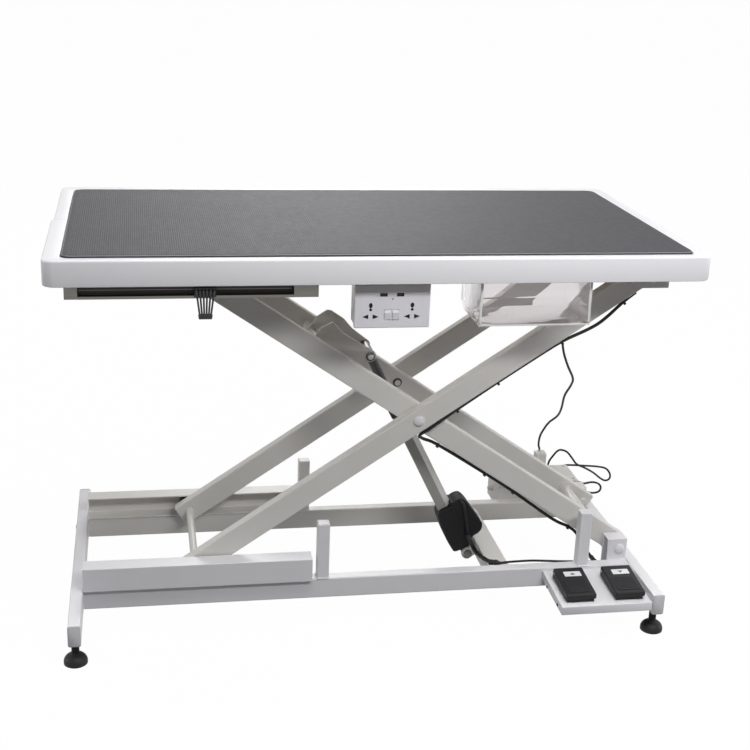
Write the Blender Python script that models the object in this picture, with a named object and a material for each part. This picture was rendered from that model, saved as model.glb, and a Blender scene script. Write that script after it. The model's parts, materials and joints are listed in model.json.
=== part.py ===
# Electric grooming table on a scissor lift, shown at working height.
# Metres, +Z up. The origin is on the floor under the middle of the table.
# +X points to the pedal end and +Y to the back.
import math

import bpy
import bmesh
from mathutils import Matrix, Vector

# Fits
SEAT_GAP = 0.0003         # between pieces that touch
RUN_GAP = 0.0006          # between a turning or sliding piece and its guide
WELD_DEPTH = 0.001        # how far welded pieces reach into each other

# Base frame
BASE_LENGTH = 1.223
BASE_WIDTH = 0.656
BASE_TOP = 0.094          # height of the base tubes' top faces
TUBE_WIDTH = 0.025
TUBE_HEIGHT = 0.045
TUBE_WALL = 0.002
RAIL_SPREAD = 0.364       # over the outer faces of the two long rails
CROSS_TUBE_BEFORE_PIVOT = 0.2678
CROSS_TUBE_WIDTH = 0.044
CROSS_TUBE_HEIGHT = 0.034
CROSS_TUBE_DROP = 0.008   # its top face below the rails' top faces
POST_HEIGHT = 0.125
POST_WIDTH = 0.0255
POST_PAST_CHANNEL = 0.024 # left posts, from the roller channels' ends
POST_BEFORE_PIVOT = 0.0898
FOOT_INSET = 0.022
FOOT_PAD_RADIUS = 0.0235
FOOT_PAD_HEIGHT = 0.025
FOOT_STEM_RADIUS = 0.006
FOOT_STEM_REACH = 0.020   # length of stem inside the tube

# Roller channels
CHANNEL_HEIGHT = 0.051
CHANNEL_DEPTH = 0.0395
CHANNEL_WALL = 0.003
CHANNEL_LENGTH = 0.470
CHANNEL_END_GAP = 0.0005  # from the left end bar
CHANNEL_PROUD = 0.0115    # how far the base channel stands outside its rail
ROLLER_WIDTH = 0.022
AXLE_RADIUS = 0.008

# Scissor arms
ARM_HALF = 0.558          # centre pivot to either end pivot
ARM_ANGLE = math.radians(33.9)
ARM_HEIGHT = 0.048
ARM_THICK = 0.025
ARM_OVERHANG = 0.026      # past a roller axle
ARM_SHORT_END = 0.017     # past a fixed pivot
OUTER_FACE_Y = 0.150      # outer face of the outer arms
ARM_SPACE = 0.0065        # between an outer arm and the inner arm beside it
PIVOT_INSET = 0.0177      # both fixed pivots, inside the right end bar
BOLT_RADIUS = 0.007
BOLT_HEAD_RADIUS = 0.0115
BOLT_HEAD_RISE = 0.007
NUT_RADIUS = 0.010
NUT_THICK = 0.0045
SPACER_RADIUS = 0.0135    # washer between the crossing arms
LOWER_TUBE_X = -0.060     # cross tube near the base pivot, in the inner arms' frame
LOWER_TUBE_RADIUS = 0.014

# Brackets for the fixed pivots
BRACKET_WALL = 0.004
BASE_BRACKET_WIDTH = 0.0435
BASE_BRACKET_DEPTH = 0.0345
BASE_BRACKET_RISE = 0.0485 # above the base tubes
BASE_BRACKET_DROP = 0.044 # below the base tubes' top faces
TABLE_BRACKET_LEFT = 0.034
TABLE_BRACKET_RIGHT = 0.037
TABLE_BRACKET_DROP = 0.022
TABLE_BRACKET_CLEAR = 0.002

# Lever for the actuator, in the inner arms' frame
LEVER_PIN_X = -0.6916
LEVER_PIN_Z = 0.0404
LEVER_TUBE_X = -0.800
LEVER_TUBE_RADIUS = 0.014
LEVER_PLATE_Y = 0.0375    # inner faces of the two plates
LEVER_PLATE_THICK = 0.005
LEVER_PEAK = 0.064
LEVER_TIP_RADIUS = 0.013
LEVER_HEAD_RADIUS = 0.0095
LEVER_HEAD_RISE = 0.005

# Actuator, measured along its axis from the lower pin
CLEVIS_BEFORE_PIVOT = 0.3068
CLEVIS_Z = 0.056
CLEVIS_LUG_RADIUS = 0.014
CLEVIS_LUG_THICK = 0.006
EYE_HALF_WIDTH = 0.0165
EYE_RADIUS = 0.011
PIN_RADIUS = 0.006
PIN_HEAD_RADIUS = 0.009
PIN_HEAD_RISE = 0.005
HOUSING_HALF_WIDTH = 0.025
HOUSING_LOW = 0.021
HOUSING_TOP = 0.126
MOTOR_LOW = 0.030
MOTOR_TOP = 0.152
MOTOR_SIDE = 0.060        # motor's far side from the axis
GEARBOX_SIDE = 0.029      # widest side of the gearbox from the axis
ACTUATOR_TUBE_HALF = 0.0145
ACTUATOR_TUBE_CORNER = 0.0075
ACTUATOR_TUBE_TOP = 0.385
ROD_RADIUS = 0.010
ROD_LENGTH = 0.243
ROD_BOSS_RADIUS = 0.011

# Table top
TABLE_LENGTH = 1.250
TABLE_WIDTH = 0.678
TABLE_ABOVE_PIVOT = 0.0813
RIM_HEIGHT = 0.0484
RIM_WALL = 0.006
RIM_CORNER = 0.022
RIM_END_LIP = 0.029       # rim's top from its outside to the mat
RIM_FRONT_LIP = 0.0245
RIM_REAR_LIP = 0.040
MAT_THICK = 0.0092        # stands proud of the rim
MAT_CORNER = 0.018
MAT_CLEARANCE = 0.001     # round the mat in the rim's opening
BOARD_THICK = 0.019
TABLE_RAIL_WIDTH = 0.022
TABLE_RAIL_ABOVE_PIVOT = 0.010
TABLE_RAIL_INSET_LEFT = 0.025
TABLE_RAIL_INSET_RIGHT = 0.013
TABLE_CHANNEL_INSET = 0.014 # from the rails' left ends

# Hook rail under the front edge
HOOK_RAIL_INSET = 0.032
HOOK_RAIL_LENGTH = 0.460
HOOK_RAIL_END_LEFT = 0.024
HOOK_RAIL_END_RIGHT = 0.046
HOOK_RAIL_SET_BACK = 0.027 # from the rim's front face
HOOK_RAIL_DEPTH = 0.022
HOOK_RAIL_DROP = 0.0295   # its lower face below the rim's lower edge
HOOK_RAIL_HEIGHT = 0.025
HOOK_RAIL_WALL = 0.003
HOOK_PAST_RAIL_END = 0.2515
HOOK_COUNT = 6
HOOK_TOP_SPACING = 0.0068
HOOK_LOW_SPACING = 0.0045
HOOK_LENGTH = 0.060
HOOK_WIRE_RADIUS = 0.0012
HOOK_KNOB_RADIUS = 0.0020
HOOK_KNOB_LENGTH = 0.011
HOOK_CARRIER_WIDTH = 0.040

# Socket box under the front edge
SOCKET_X = 0.0108
SOCKET_WIDTH = 0.146
SOCKET_HEIGHT = 0.086
SOCKET_PLATE_THICK = 0.010
SOCKET_PLATE_ROUND = 0.003
SOCKET_SET_BACK = 0.047   # from the rim's front face
SOCKET_DROP = 0.098       # its lower edge below the rim's lower edge
SOCKET_BOX_INSET = 0.003
SOCKET_BOX_DEPTH = 0.045
SOCKET_BOX_WALL = 0.0025
ROCKER_WIDTH = 0.012
ROCKER_HEIGHT = 0.020
ROCKER_DEPTH = 0.006
ROCKER_SPACING = 0.0155
ROCKER_RISE = 0.0262      # rocker centres above the plate's lower edge
ROCKER_OFFSET = -0.0014   # middle of the pair from the plate's middle
ROCKER_PROUD = 0.0015

# Clear tray under the front edge
TRAY_LEFT = 0.178
TRAY_WIDTH = 0.221
TRAY_SET_BACK = 0.034     # from the rim's front face
TRAY_UNDER_RAIL = 0.028   # how far it reaches under the table rail
TRAY_RAIL_CLEAR = 0.002
TRAY_DROP = 0.094         # its floor below the rim's lower edge
TRAY_TOP_DROP = 0.004     # its top below the rim's lower edge
TRAY_WALL = 0.004
TRAY_CHAMFER_RUN = 0.024
TRAY_CHAMFER_RISE = 0.012
TRAY_FLANGE = 0.014
HANGER_WALL = 0.003
HANGER_SET_BACK = 0.0237  # from the tray's front

# Pedals
PEDAL_PLATE_LENGTH = 0.1975
PEDAL_PLATE_TOP = 0.077   # at its front edge
PEDAL_PLATE_RISE = 0.0095 # from its front edge to the rail
PEDAL_PLATE_THICK = 0.003
PEDAL_PLATE_LIP = 0.0185
PEDAL_BEFORE_BAR = (0.1525, 0.0455)
PEDAL_FRONT = -0.316
PEDAL_LENGTH = 0.103
PEDAL_WIDTH = 0.061
PEDAL_FRONT_HEIGHT = 0.0205
PEDAL_BACK_HEIGHT = 0.031
PEDAL_EDGE = 0.003
PEDAL_SHELL = 0.0025
PEDAL_BASE_HEIGHT = 0.0105
PEDAL_SKIRT_LIFT = 0.0085 # skirt's lower edge above the plate
PEDAL_HINGE_INSET = 0.009 # hinge line from the pedal's back end
PEDAL_HINGE_HEIGHT = 0.0225

# Control box in the rear corner of the base
CONTROL_LENGTH = 0.2022
CONTROL_DEPTH = 0.098
CONTROL_HEIGHT = 0.0675
CONTROL_DROP = 0.026      # its floor below the base tubes' top faces
CONTROL_WALL = 0.0025
CONTROL_ROUND = 0.004
GLAND_RADIUS = 0.0065
GLAND_LENGTH = 0.012
MAINS_GLAND_BORE = 0.0035

# Cables
HARNESS_RADIUS = 0.0035
CORD_RADIUS = 0.0022
LEAD_RADIUS = 0.0028

# Worked-out places
RAIL_Y = RAIL_SPREAD / 2
RAIL_INNER_Y = RAIL_Y - TUBE_WIDTH
BAR_INNER_X = BASE_LENGTH / 2 - TUBE_WIDTH
BASE_UNDERSIDE = BASE_TOP - TUBE_HEIGHT
CROSS_TUBE_TOP = BASE_TOP - CROSS_TUBE_DROP
PIVOT_X = BAR_INNER_X - PIVOT_INSET
CHANNEL_LEFT = CHANNEL_END_GAP - BAR_INNER_X
CHANNEL_RIGHT = CHANNEL_LEFT + CHANNEL_LENGTH
POST_X = (CHANNEL_RIGHT + POST_PAST_CHANNEL, PIVOT_X - POST_BEFORE_PIVOT)
CROSS_TUBE_X = PIVOT_X - CROSS_TUBE_BEFORE_PIVOT
CLEVIS_X = PIVOT_X - CLEVIS_BEFORE_PIVOT
BASE_WEB_Y = RAIL_Y + CHANNEL_PROUD
ROLLER_RADIUS = CHANNEL_HEIGHT / 2 - CHANNEL_WALL - RUN_GAP / 2
AXLE_Z = BASE_TOP + SEAT_GAP + CHANNEL_HEIGHT / 2
INNER_FACE_Y = OUTER_FACE_Y - ARM_THICK - ARM_SPACE
INNER_GAP_Y = INNER_FACE_Y - ARM_THICK
TABLE_WEB_Y = INNER_FACE_Y + CHANNEL_WALL + CHANNEL_DEPTH
TABLE_RAIL_FACE_Y = TABLE_WEB_Y + TABLE_RAIL_WIDTH
REACH_X = ARM_HALF * math.cos(ARM_ANGLE)
REACH_Z = ARM_HALF * math.sin(ARM_ANGLE)
BASE_PIVOT = Vector((PIVOT_X, 0, AXLE_Z))
CENTRE_PIVOT = Vector((PIVOT_X - REACH_X, 0, AXLE_Z + REACH_Z))
TABLE_PIVOT = Vector((PIVOT_X, 0, AXLE_Z + 2 * REACH_Z))
TABLE_TOP = TABLE_PIVOT.z + TABLE_ABOVE_PIVOT
RIM_BOTTOM = TABLE_TOP - RIM_HEIGHT
BOARD_TOP = TABLE_TOP - RIM_WALL - SEAT_GAP
BOARD_BOTTOM = BOARD_TOP - BOARD_THICK
UNDER_BOARD = BOARD_BOTTOM - SEAT_GAP
MAT_LENGTH = TABLE_LENGTH - 2 * RIM_END_LIP
MAT_FRONT = RIM_FRONT_LIP - TABLE_WIDTH / 2
MAT_BACK = TABLE_WIDTH / 2 - RIM_REAR_LIP
TABLE_RAIL_LEFT = TABLE_RAIL_INSET_LEFT - TABLE_LENGTH / 2
TABLE_RAIL_RIGHT = TABLE_LENGTH / 2 - TABLE_RAIL_INSET_RIGHT
TABLE_CHANNEL_LEFT = TABLE_RAIL_LEFT + TABLE_CHANNEL_INSET
HOOK_RAIL_LEFT = HOOK_RAIL_INSET - TABLE_LENGTH / 2
HOOK_RAIL_RIGHT = HOOK_RAIL_LEFT + HOOK_RAIL_LENGTH
HOOK_RAIL_FRONT = HOOK_RAIL_SET_BACK - TABLE_WIDTH / 2
HOOK_X = HOOK_RAIL_LEFT + HOOK_PAST_RAIL_END
SOCKET_FRONT_Y = SOCKET_SET_BACK - TABLE_WIDTH / 2
TRAY_RIGHT = TRAY_LEFT + TRAY_WIDTH
TRAY_FRONT = TRAY_SET_BACK - TABLE_WIDTH / 2
TRAY_BACK = TRAY_UNDER_RAIL - TABLE_RAIL_FACE_Y
PEDAL_PLATE_LEFT = BAR_INNER_X - PEDAL_PLATE_LENGTH
PEDAL_BACK = PEDAL_FRONT + PEDAL_LENGTH
CONTROL_BASE = BASE_TOP - CONTROL_DROP
CONTROL_TOP = CONTROL_BASE + CONTROL_HEIGHT
CONTROL_FRONT = RAIL_Y + SEAT_GAP
CONTROL_BACK = CONTROL_FRONT + CONTROL_DEPTH
CONTROL_RIGHT = BAR_INNER_X - SEAT_GAP
CONTROL_LEFT = CONTROL_RIGHT - CONTROL_LENGTH
SIDES = {"front": -1, "rear": 1}

for old in list(bpy.data.objects):
    bpy.data.objects.remove(old, do_unlink=True)


def material(name, colour, roughness, metallic=0.0, alpha=1.0):
    made = bpy.data.materials.new(name)
    made.use_nodes = True
    shader = made.node_tree.nodes["Principled BSDF"]
    shader.inputs["Base Color"].default_value = (*colour, 1.0)
    shader.inputs["Roughness"].default_value = roughness
    shader.inputs["Metallic"].default_value = metallic
    shader.inputs["Alpha"].default_value = alpha
    return made


WHITE_COAT = material("white powder coat", (0.80, 0.80, 0.82), 0.40)
WHITE_RIM = material("white moulded rim", (0.83, 0.83, 0.85), 0.35)
WHITE_PLATE = material("white socket plastic", (0.82, 0.81, 0.85), 0.35)
MAT_RUBBER = material("dark ribbed rubber", (0.055, 0.055, 0.062), 0.60)
BLACK_PLASTIC = material("black moulded plastic", (0.020, 0.020, 0.023), 0.45)
BLACK_RUBBER = material("black rubber", (0.012, 0.012, 0.012), 0.55)
GREY_TUBE = material("grey actuator tube", (0.33, 0.33, 0.34), 0.38, 0.6)
GREY_BOX = material("light grey plastic", (0.60, 0.59, 0.57), 0.45)
ALUMINIUM = material("dull aluminium", (0.30, 0.30, 0.29), 0.45, 0.8)
ZINC = material("zinc-plated steel", (0.50, 0.50, 0.50), 0.35, 0.9)
ACRYLIC = material("clear acrylic", (0.90, 0.91, 0.91), 0.05, 0.0, 0.3)
BOARD_WOOD = material("board", (0.42, 0.31, 0.20), 0.70)


def empty_frame(name, place, turn_y=0.0, parent=None):
    frame = bpy.data.objects.new(name, None)
    frame.location = place
    frame.rotation_euler = (0, turn_y, 0)
    frame.parent = parent
    bpy.context.scene.collection.objects.link(frame)
    return frame


def finish(name, shape, surface, frame=None, smooth=False):
    bmesh.ops.recalc_face_normals(shape, faces=shape.faces)
    mesh = bpy.data.meshes.new(name)
    shape.to_mesh(mesh)
    shape.free()
    if surface:
        mesh.materials.append(surface)
    if smooth:
        mesh.shade_smooth()
        mesh.set_sharp_from_angle(angle=math.radians(35))
    made = bpy.data.objects.new(name, mesh)
    bpy.context.scene.collection.objects.link(made)
    made.parent = frame
    return made


# Boolean steps: the tool's shape is a hidden wire object in the same frame as its target.
def combine(target, operation, shape):
    tool = finish(f"{target.name}_{operation.lower()}_{len(target.modifiers)}", shape, None, target.parent)
    tool.location = target.location
    tool.hide_render = True
    tool.display_type = "WIRE"
    step = target.modifiers.new(operation.lower(), "BOOLEAN")
    step.operation = operation
    step.object = tool


def cut(target, shape):
    combine(target, "DIFFERENCE", shape)


def weld(target, shape):
    combine(target, "UNION", shape)


def round_edges(target, width, segments=2):
    step = target.modifiers.new("rounded edges", "BEVEL")
    step.width = width
    step.segments = segments
    step.limit_method = "ANGLE"
    step.angle_limit = math.radians(50)


# Outline points lie in the two axes left over, in X, Y, Z order.
def spread_point(axis, along, point):
    first, second = point
    if axis == "x":
        return (along, first, second)
    if axis == "y":
        return (first, along, second)
    return (first, second, along)


def add_prism(shape, outline, axis, low, high):
    near = [shape.verts.new(spread_point(axis, low, p)) for p in outline]
    far = [shape.verts.new(spread_point(axis, high, p)) for p in outline]
    shape.faces.new(near)
    shape.faces.new(far[::-1])
    for i in range(len(outline)):
        j = (i + 1) % len(outline)
        shape.faces.new((near[i], far[i], far[j], near[j]))


def add_ring_prism(shape, outer, inner, axis, low, high):
    loops = []
    for outline, along in ((outer, low), (outer, high), (inner, high), (inner, low)):
        loops.append([shape.verts.new(spread_point(axis, along, p)) for p in outline])
    count = len(outer)
    for k in range(4):
        a, b = loops[k], loops[(k + 1) % 4]
        for i in range(count):
            j = (i + 1) % count
            shape.faces.new((a[i], a[j], b[j], b[i]))


def rectangle(low, high):
    return [(low[0], low[1]), (high[0], low[1]), (high[0], high[1]), (low[0], high[1])]


def arc(centre, radius, start, end, steps):
    turn = [math.radians(start + (end - start) * i / steps) for i in range(steps + 1)]
    return [(centre[0] + radius * math.cos(a), centre[1] + radius * math.sin(a)) for a in turn]


def circle(centre, radius, sides):
    return arc(centre, radius, 0, 360, sides)[:-1]


def rounded_rectangle(length, width, radius, steps=6):
    points = []
    for sign_x, sign_y, start in ((1, 1, 0), (-1, 1, 90), (-1, -1, 180), (1, -1, 270)):
        centre = (sign_x * (length / 2 - radius), sign_y * (width / 2 - radius))
        points += arc(centre, radius, start, start + 90, steps)
    return points


def add_box(shape, low, high):
    add_prism(shape, rectangle(low[:2], high[:2]), "z", low[2], high[2])


# A hollow tube with open ends; low and high are the corners of its outside.
def add_tube(shape, axis, low, high, wall):
    index = "xyz".index(axis)
    outer_low = [v for i, v in enumerate(low) if i != index]
    outer_high = [v for i, v in enumerate(high) if i != index]
    inner_low = [v + wall for v in outer_low]
    inner_high = [v - wall for v in outer_high]
    add_ring_prism(shape, rectangle(outer_low, outer_high), rectangle(inner_low, inner_high),
                   axis, low[index], high[index])


# A solid of revolution about an axis through a centre; the profile runs (radius, height) from end to end.
def add_turned(shape, profile, axis, centre, sides=24):
    rings = []
    for radius, height in profile:
        flat = circle((0, 0), radius, sides) if radius > 0 else [(0, 0)]
        rings.append([shape.verts.new(Vector(centre) + Vector(spread_point(axis, height, p))) for p in flat])
    for low, high in zip(rings, rings[1:]):
        for i in range(sides):
            j = (i + 1) % sides
            corners = [low[i % len(low)], low[j % len(low)], high[j % len(high)], high[i % len(high)]]
            unique = list(dict.fromkeys(corners))
            shape.faces.new(unique)


def add_cylinder(shape, axis, centre, radius, low, high, sides=24):
    add_turned(shape, [(0, low), (radius, low), (radius, high), (0, high)], axis, centre, sides)


def both_ways(sign, first, second):
    return sorted((sign * first, sign * second))


# A smooth curve through hand-chosen points, read off at even steps.
def even_route(route, spacing):
    points = [Vector(p) for p in route]
    padded = [2 * points[0] - points[1]] + points + [2 * points[-1] - points[-2]]
    dense = []
    for a, b, c, d in zip(padded, padded[1:], padded[2:], padded[3:]):
        for i in range(20):
            t = i / 20
            bend = (2 * a - 5 * b + 4 * c - d) * t * t + (3 * b - a - 3 * c + d) * t ** 3
            dense.append(0.5 * (2 * b + (c - a) * t + bend))
    dense.append(points[-1])
    travelled = [0.0]
    for a, b in zip(dense, dense[1:]):
        travelled.append(travelled[-1] + (b - a).length)
    count = max(4, round(travelled[-1] / spacing))
    even = []
    k = 0
    for i in range(count + 1):
        goal = travelled[-1] * i / count
        while k < len(dense) - 2 and travelled[k + 1] < goal:
            k += 1
        even.append(dense[k].lerp(dense[k + 1], (goal - travelled[k]) / (travelled[k + 1] - travelled[k])))
    return even


def cable(name, route, radius, frame=None):
    curve = bpy.data.curves.new(name, "CURVE")
    curve.dimensions = "3D"
    curve.bevel_depth = radius
    curve.bevel_resolution = 2
    curve.use_fill_caps = True
    points = even_route(route, 5 * radius)
    spline = curve.splines.new("POLY")
    spline.points.add(len(points) - 1)
    for point, place in zip(spline.points, points):
        point.co = (*place, 1)
    curve.materials.append(BLACK_RUBBER)
    made = bpy.data.objects.new(name, curve)
    bpy.context.scene.collection.objects.link(made)
    made.parent = frame


# A folded bracket of three walls, open below.
def bracket_outline(outer_y, inner_y, low, high):
    wall = math.copysign(BRACKET_WALL, outer_y - inner_y)
    roof = high - BRACKET_WALL
    return [(outer_y, low), (outer_y, high), (inner_y, high), (inner_y, low),
            (inner_y + wall, low), (inner_y + wall, roof), (outer_y - wall, roof), (outer_y - wall, low)]


# A C-section whose open side faces the middle of the table.
def channel_outline(sign, web_y, low):
    lip, inner = web_y - sign * CHANNEL_DEPTH, web_y - sign * CHANNEL_WALL
    high = low + CHANNEL_HEIGHT
    return [(web_y, low), (lip, low), (lip, low + CHANNEL_WALL), (inner, low + CHANNEL_WALL),
            (inner, high - CHANNEL_WALL), (lip, high - CHANNEL_WALL), (lip, high), (web_y, high)]


# End bars: closed tubes with a hole under each end for a foot's stem.
def base_bars():
    for name, sign in (("base_bar_left", -1), ("base_bar_right", 1)):
        left, right = both_ways(sign, BASE_LENGTH / 2, BAR_INNER_X)
        half = BASE_WIDTH / 2
        body = bmesh.new()
        add_box(body, (left, -half, BASE_UNDERSIDE), (right, half, BASE_TOP))
        bar = finish(name, body, WHITE_COAT)
        hollow = bmesh.new()
        add_box(hollow, (left + TUBE_WALL, TUBE_WALL - half, BASE_UNDERSIDE + TUBE_WALL),
                (right - TUBE_WALL, half - TUBE_WALL, BASE_TOP - TUBE_WALL))
        cut(bar, hollow)
        holes = bmesh.new()
        for side in SIDES.values():
            add_cylinder(holes, "z", ((left + right) / 2, side * (half - FOOT_INSET), BASE_UNDERSIDE),
                         FOOT_STEM_RADIUS + RUN_GAP, -TUBE_WALL, 2 * TUBE_WALL)
        cut(bar, holes)


# Long rails, each with two stop posts and a pivot bracket welded on.
def base_rails():
    for name, sign in SIDES.items():
        low_y, high_y = both_ways(sign, RAIL_Y, RAIL_INNER_Y)
        end = BAR_INNER_X - SEAT_GAP
        body = bmesh.new()
        add_tube(body, "x", (-end, low_y, BASE_UNDERSIDE), (end, high_y, BASE_TOP), TUBE_WALL)
        rail = finish("base_rail_" + name, body, WHITE_COAT)
        posts, hollows = bmesh.new(), bmesh.new()
        top = BASE_TOP + POST_HEIGHT
        for x in POST_X:
            left, right = x - POST_WIDTH / 2, x + POST_WIDTH / 2
            add_box(posts, (left, low_y, BASE_TOP - WELD_DEPTH), (right, high_y, top))
            add_box(hollows, (left + TUBE_WALL, low_y + TUBE_WALL, BASE_TOP - 2 * TUBE_WALL),
                    (right - TUBE_WALL, high_y - TUBE_WALL, top - TUBE_WALL))
        weld(rail, posts)
        cut(rail, hollows)
        bracket = bmesh.new()
        outer = RAIL_INNER_Y + WELD_DEPTH
        add_prism(bracket, bracket_outline(sign * outer, sign * (RAIL_INNER_Y - BASE_BRACKET_DEPTH),
                                           BASE_TOP - BASE_BRACKET_DROP, BASE_TOP + BASE_BRACKET_RISE),
                  "x", end - BASE_BRACKET_WIDTH, end)
        weld(rail, bracket)
        hole = bmesh.new()
        add_cylinder(hole, "y", BASE_PIVOT, BOLT_RADIUS + SEAT_GAP, *both_ways(sign, INNER_FACE_Y, RAIL_Y))
        cut(rail, hole)
        channel = bmesh.new()
        add_prism(channel, channel_outline(sign, sign * BASE_WEB_Y, BASE_TOP + SEAT_GAP),
                  "x", CHANNEL_LEFT, CHANNEL_RIGHT)
        finish("roller_channel_" + name, channel, WHITE_COAT)


# Cross tube with the two lugs that hold the actuator's lower pin.
def cross_tube():
    half = RAIL_INNER_Y - SEAT_GAP
    left, right = CROSS_TUBE_X - CROSS_TUBE_WIDTH / 2, CROSS_TUBE_X + CROSS_TUBE_WIDTH / 2
    low = CROSS_TUBE_TOP - CROSS_TUBE_HEIGHT
    body = bmesh.new()
    add_tube(body, "y", (left, -half, low), (right, half, CROSS_TUBE_TOP), TUBE_WALL)
    tube = finish("base_cross_tube", body, WHITE_COAT)
    lugs = bmesh.new()
    nose = arc((CLEVIS_X, CLEVIS_Z), CLEVIS_LUG_RADIUS, 75, 285, 10)
    root = left + WELD_DEPTH
    outline = [(root, nose[0][1])] + nose + [(root, low + WELD_DEPTH)]
    near = EYE_HALF_WIDTH + RUN_GAP
    for sign in SIDES.values():
        add_prism(lugs, outline, "y", *both_ways(sign, near, near + CLEVIS_LUG_THICK))
    weld(tube, lugs)
    hole = bmesh.new()
    reach = near + CLEVIS_LUG_THICK + SEAT_GAP
    add_cylinder(hole, "y", (CLEVIS_X, 0, CLEVIS_Z), PIN_RADIUS + SEAT_GAP, -2 * reach, 2 * reach)
    cut(tube, hole)
    pin = bmesh.new()
    end = reach + PIN_HEAD_RISE
    add_turned(pin, [(0, -end), (PIN_HEAD_RADIUS, -end), (PIN_HEAD_RADIUS, -reach), (PIN_RADIUS, -reach),
                     (PIN_RADIUS, reach), (PIN_HEAD_RADIUS, reach), (PIN_HEAD_RADIUS, end), (0, end)],
               "y", (CLEVIS_X, 0, CLEVIS_Z))
    finish("clevis_pin", pin, ZINC, None, True)


# Screw-in feet: a domed pad on a stem.
def levelling_feet():
    stem_top = BASE_UNDERSIDE + FOOT_STEM_REACH
    r, h = FOOT_PAD_RADIUS, FOOT_PAD_HEIGHT
    profile = [(0, 0), (r * 0.92, 0), (r, h * 0.10), (r, h * 0.34), (r * 0.88, h * 0.60), (r * 0.66, h * 0.84),
               (r * 0.46, h), (FOOT_STEM_RADIUS, h), (FOOT_STEM_RADIUS, stem_top), (0, stem_top)]
    for end, sign_x in (("left", -1), ("right", 1)):
        for side, sign_y in SIDES.items():
            body = bmesh.new()
            add_turned(body, profile, "z", (0, 0, 0))
            foot = finish(f"levelling_foot_{side}_{end}", body, BLACK_RUBBER, None, True)
            foot.location = (sign_x * (BASE_LENGTH - TUBE_WIDTH) / 2, sign_y * (BASE_WIDTH / 2 - FOOT_INSET), 0)


# A bolt along Y: a domed head at the outer face, a nut at the inner one and, if asked for, a spacer between.
def pivot_bolt(name, sign, frame, place, outer_y, inner_y, spacer=None):
    rise, head = BOLT_HEAD_RISE, BOLT_HEAD_RADIUS
    grip = outer_y - inner_y + SEAT_GAP
    profile = [(0, -rise), (head * 0.55, -rise * 0.86), (head * 0.90, -rise * 0.50), (head, -SEAT_GAP),
               (BOLT_RADIUS, -SEAT_GAP)]
    if spacer:
        profile += [(BOLT_RADIUS, spacer[0]), (SPACER_RADIUS, spacer[0]), (SPACER_RADIUS, spacer[1]),
                    (BOLT_RADIUS, spacer[1])]
    profile += [(BOLT_RADIUS, grip), (NUT_RADIUS, grip), (NUT_RADIUS, grip + NUT_THICK), (0, grip + NUT_THICK)]
    body = bmesh.new()
    inward = [(radius, -sign * depth) for radius, depth in profile]
    add_turned(body, inward, "y", (place[0], sign * outer_y, place[2]))
    finish(name, body, WHITE_COAT, frame, True)


def pivot_bolts(outer, table):
    for side, sign in SIDES.items():
        pivot_bolt("base_pivot_bolt_" + side, sign, None, BASE_PIVOT, RAIL_INNER_Y + WELD_DEPTH, INNER_GAP_Y)
        spacer = (ARM_THICK + RUN_GAP, ARM_THICK + ARM_SPACE - RUN_GAP)
        pivot_bolt("centre_pivot_bolt_" + side, sign, outer, (0, 0, 0), OUTER_FACE_Y, INNER_GAP_Y, spacer)
        pivot_bolt("top_pivot_bolt_" + side, sign, table, (0, 0, 0), TABLE_RAIL_FACE_Y,
                   OUTER_FACE_Y - ARM_THICK)


# A hollow arm along its frame's X axis, with cross holes (place, radius).
def arm(name, frame, faces, left, right, holes):
    body = bmesh.new()
    add_tube(body, "x", (left, faces[0], -ARM_HEIGHT / 2), (right, faces[1], ARM_HEIGHT / 2), TUBE_WALL)
    made = finish(name, body, WHITE_COAT, frame)
    drill = bmesh.new()
    for x, radius in holes:
        add_cylinder(drill, "y", (x, 0, 0), radius, faces[0] - ARM_THICK, faces[1] + ARM_THICK)
    cut(made, drill)


def scissor_arms(inner, outer):
    bolt, axle = BOLT_RADIUS + SEAT_GAP, AXLE_RADIUS + SEAT_GAP
    for side, sign in SIDES.items():
        arm("inner_arm_" + side, inner, both_ways(sign, INNER_FACE_Y, INNER_GAP_Y),
            -2 * ARM_HALF - ARM_OVERHANG, ARM_SHORT_END,
            ((0, bolt), (-ARM_HALF, bolt), (-2 * ARM_HALF, axle)))
        arm("outer_arm_" + side, outer, both_ways(sign, OUTER_FACE_Y, OUTER_FACE_Y - ARM_THICK),
            -ARM_HALF - ARM_OVERHANG, ARM_HALF + ARM_SHORT_END,
            ((ARM_HALF, bolt), (0, bolt), (-ARM_HALF, axle)))
    tube = bmesh.new()
    half = INNER_GAP_Y - SEAT_GAP
    centre = (LOWER_TUBE_X, 0)
    outside, inside = circle(centre, LOWER_TUBE_RADIUS, 24), circle(centre, LOWER_TUBE_RADIUS - TUBE_WALL, 24)
    add_ring_prism(tube, outside, inside, "y", -half, half)
    finish("inner_cross_tube", tube, WHITE_COAT, inner, True)


# Axles through the free ends of the arms, each with a roller in the channel at either side.
def axles_and_rollers(inner, outer):
    for name, frame, x, web_y in (("base", outer, -ARM_HALF, BASE_WEB_Y),
                                  ("top", inner, -2 * ARM_HALF, TABLE_WEB_Y)):
        middle = web_y - CHANNEL_DEPTH / 2
        reach = middle + ROLLER_WIDTH / 2 + 2 * RUN_GAP
        body = bmesh.new()
        add_cylinder(body, "y", (x, 0, 0), AXLE_RADIUS, -reach, reach)
        finish(name + "_axle", body, WHITE_COAT, frame, True)
        hub = empty_frame(name + "_roller_hub", (x, 0, 0), 0.0, frame)
        for side, sign in SIDES.items():
            body = bmesh.new()
            outside, inside = circle((0, 0), ROLLER_RADIUS, 32), circle((0, 0), AXLE_RADIUS + RUN_GAP, 32)
            add_ring_prism(body, outside, inside, "y",
                           *both_ways(sign, middle - ROLLER_WIDTH / 2, middle + ROLLER_WIDTH / 2))
            finish(f"{name}_roller_{side}", body, BLACK_PLASTIC, hub, True)


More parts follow.
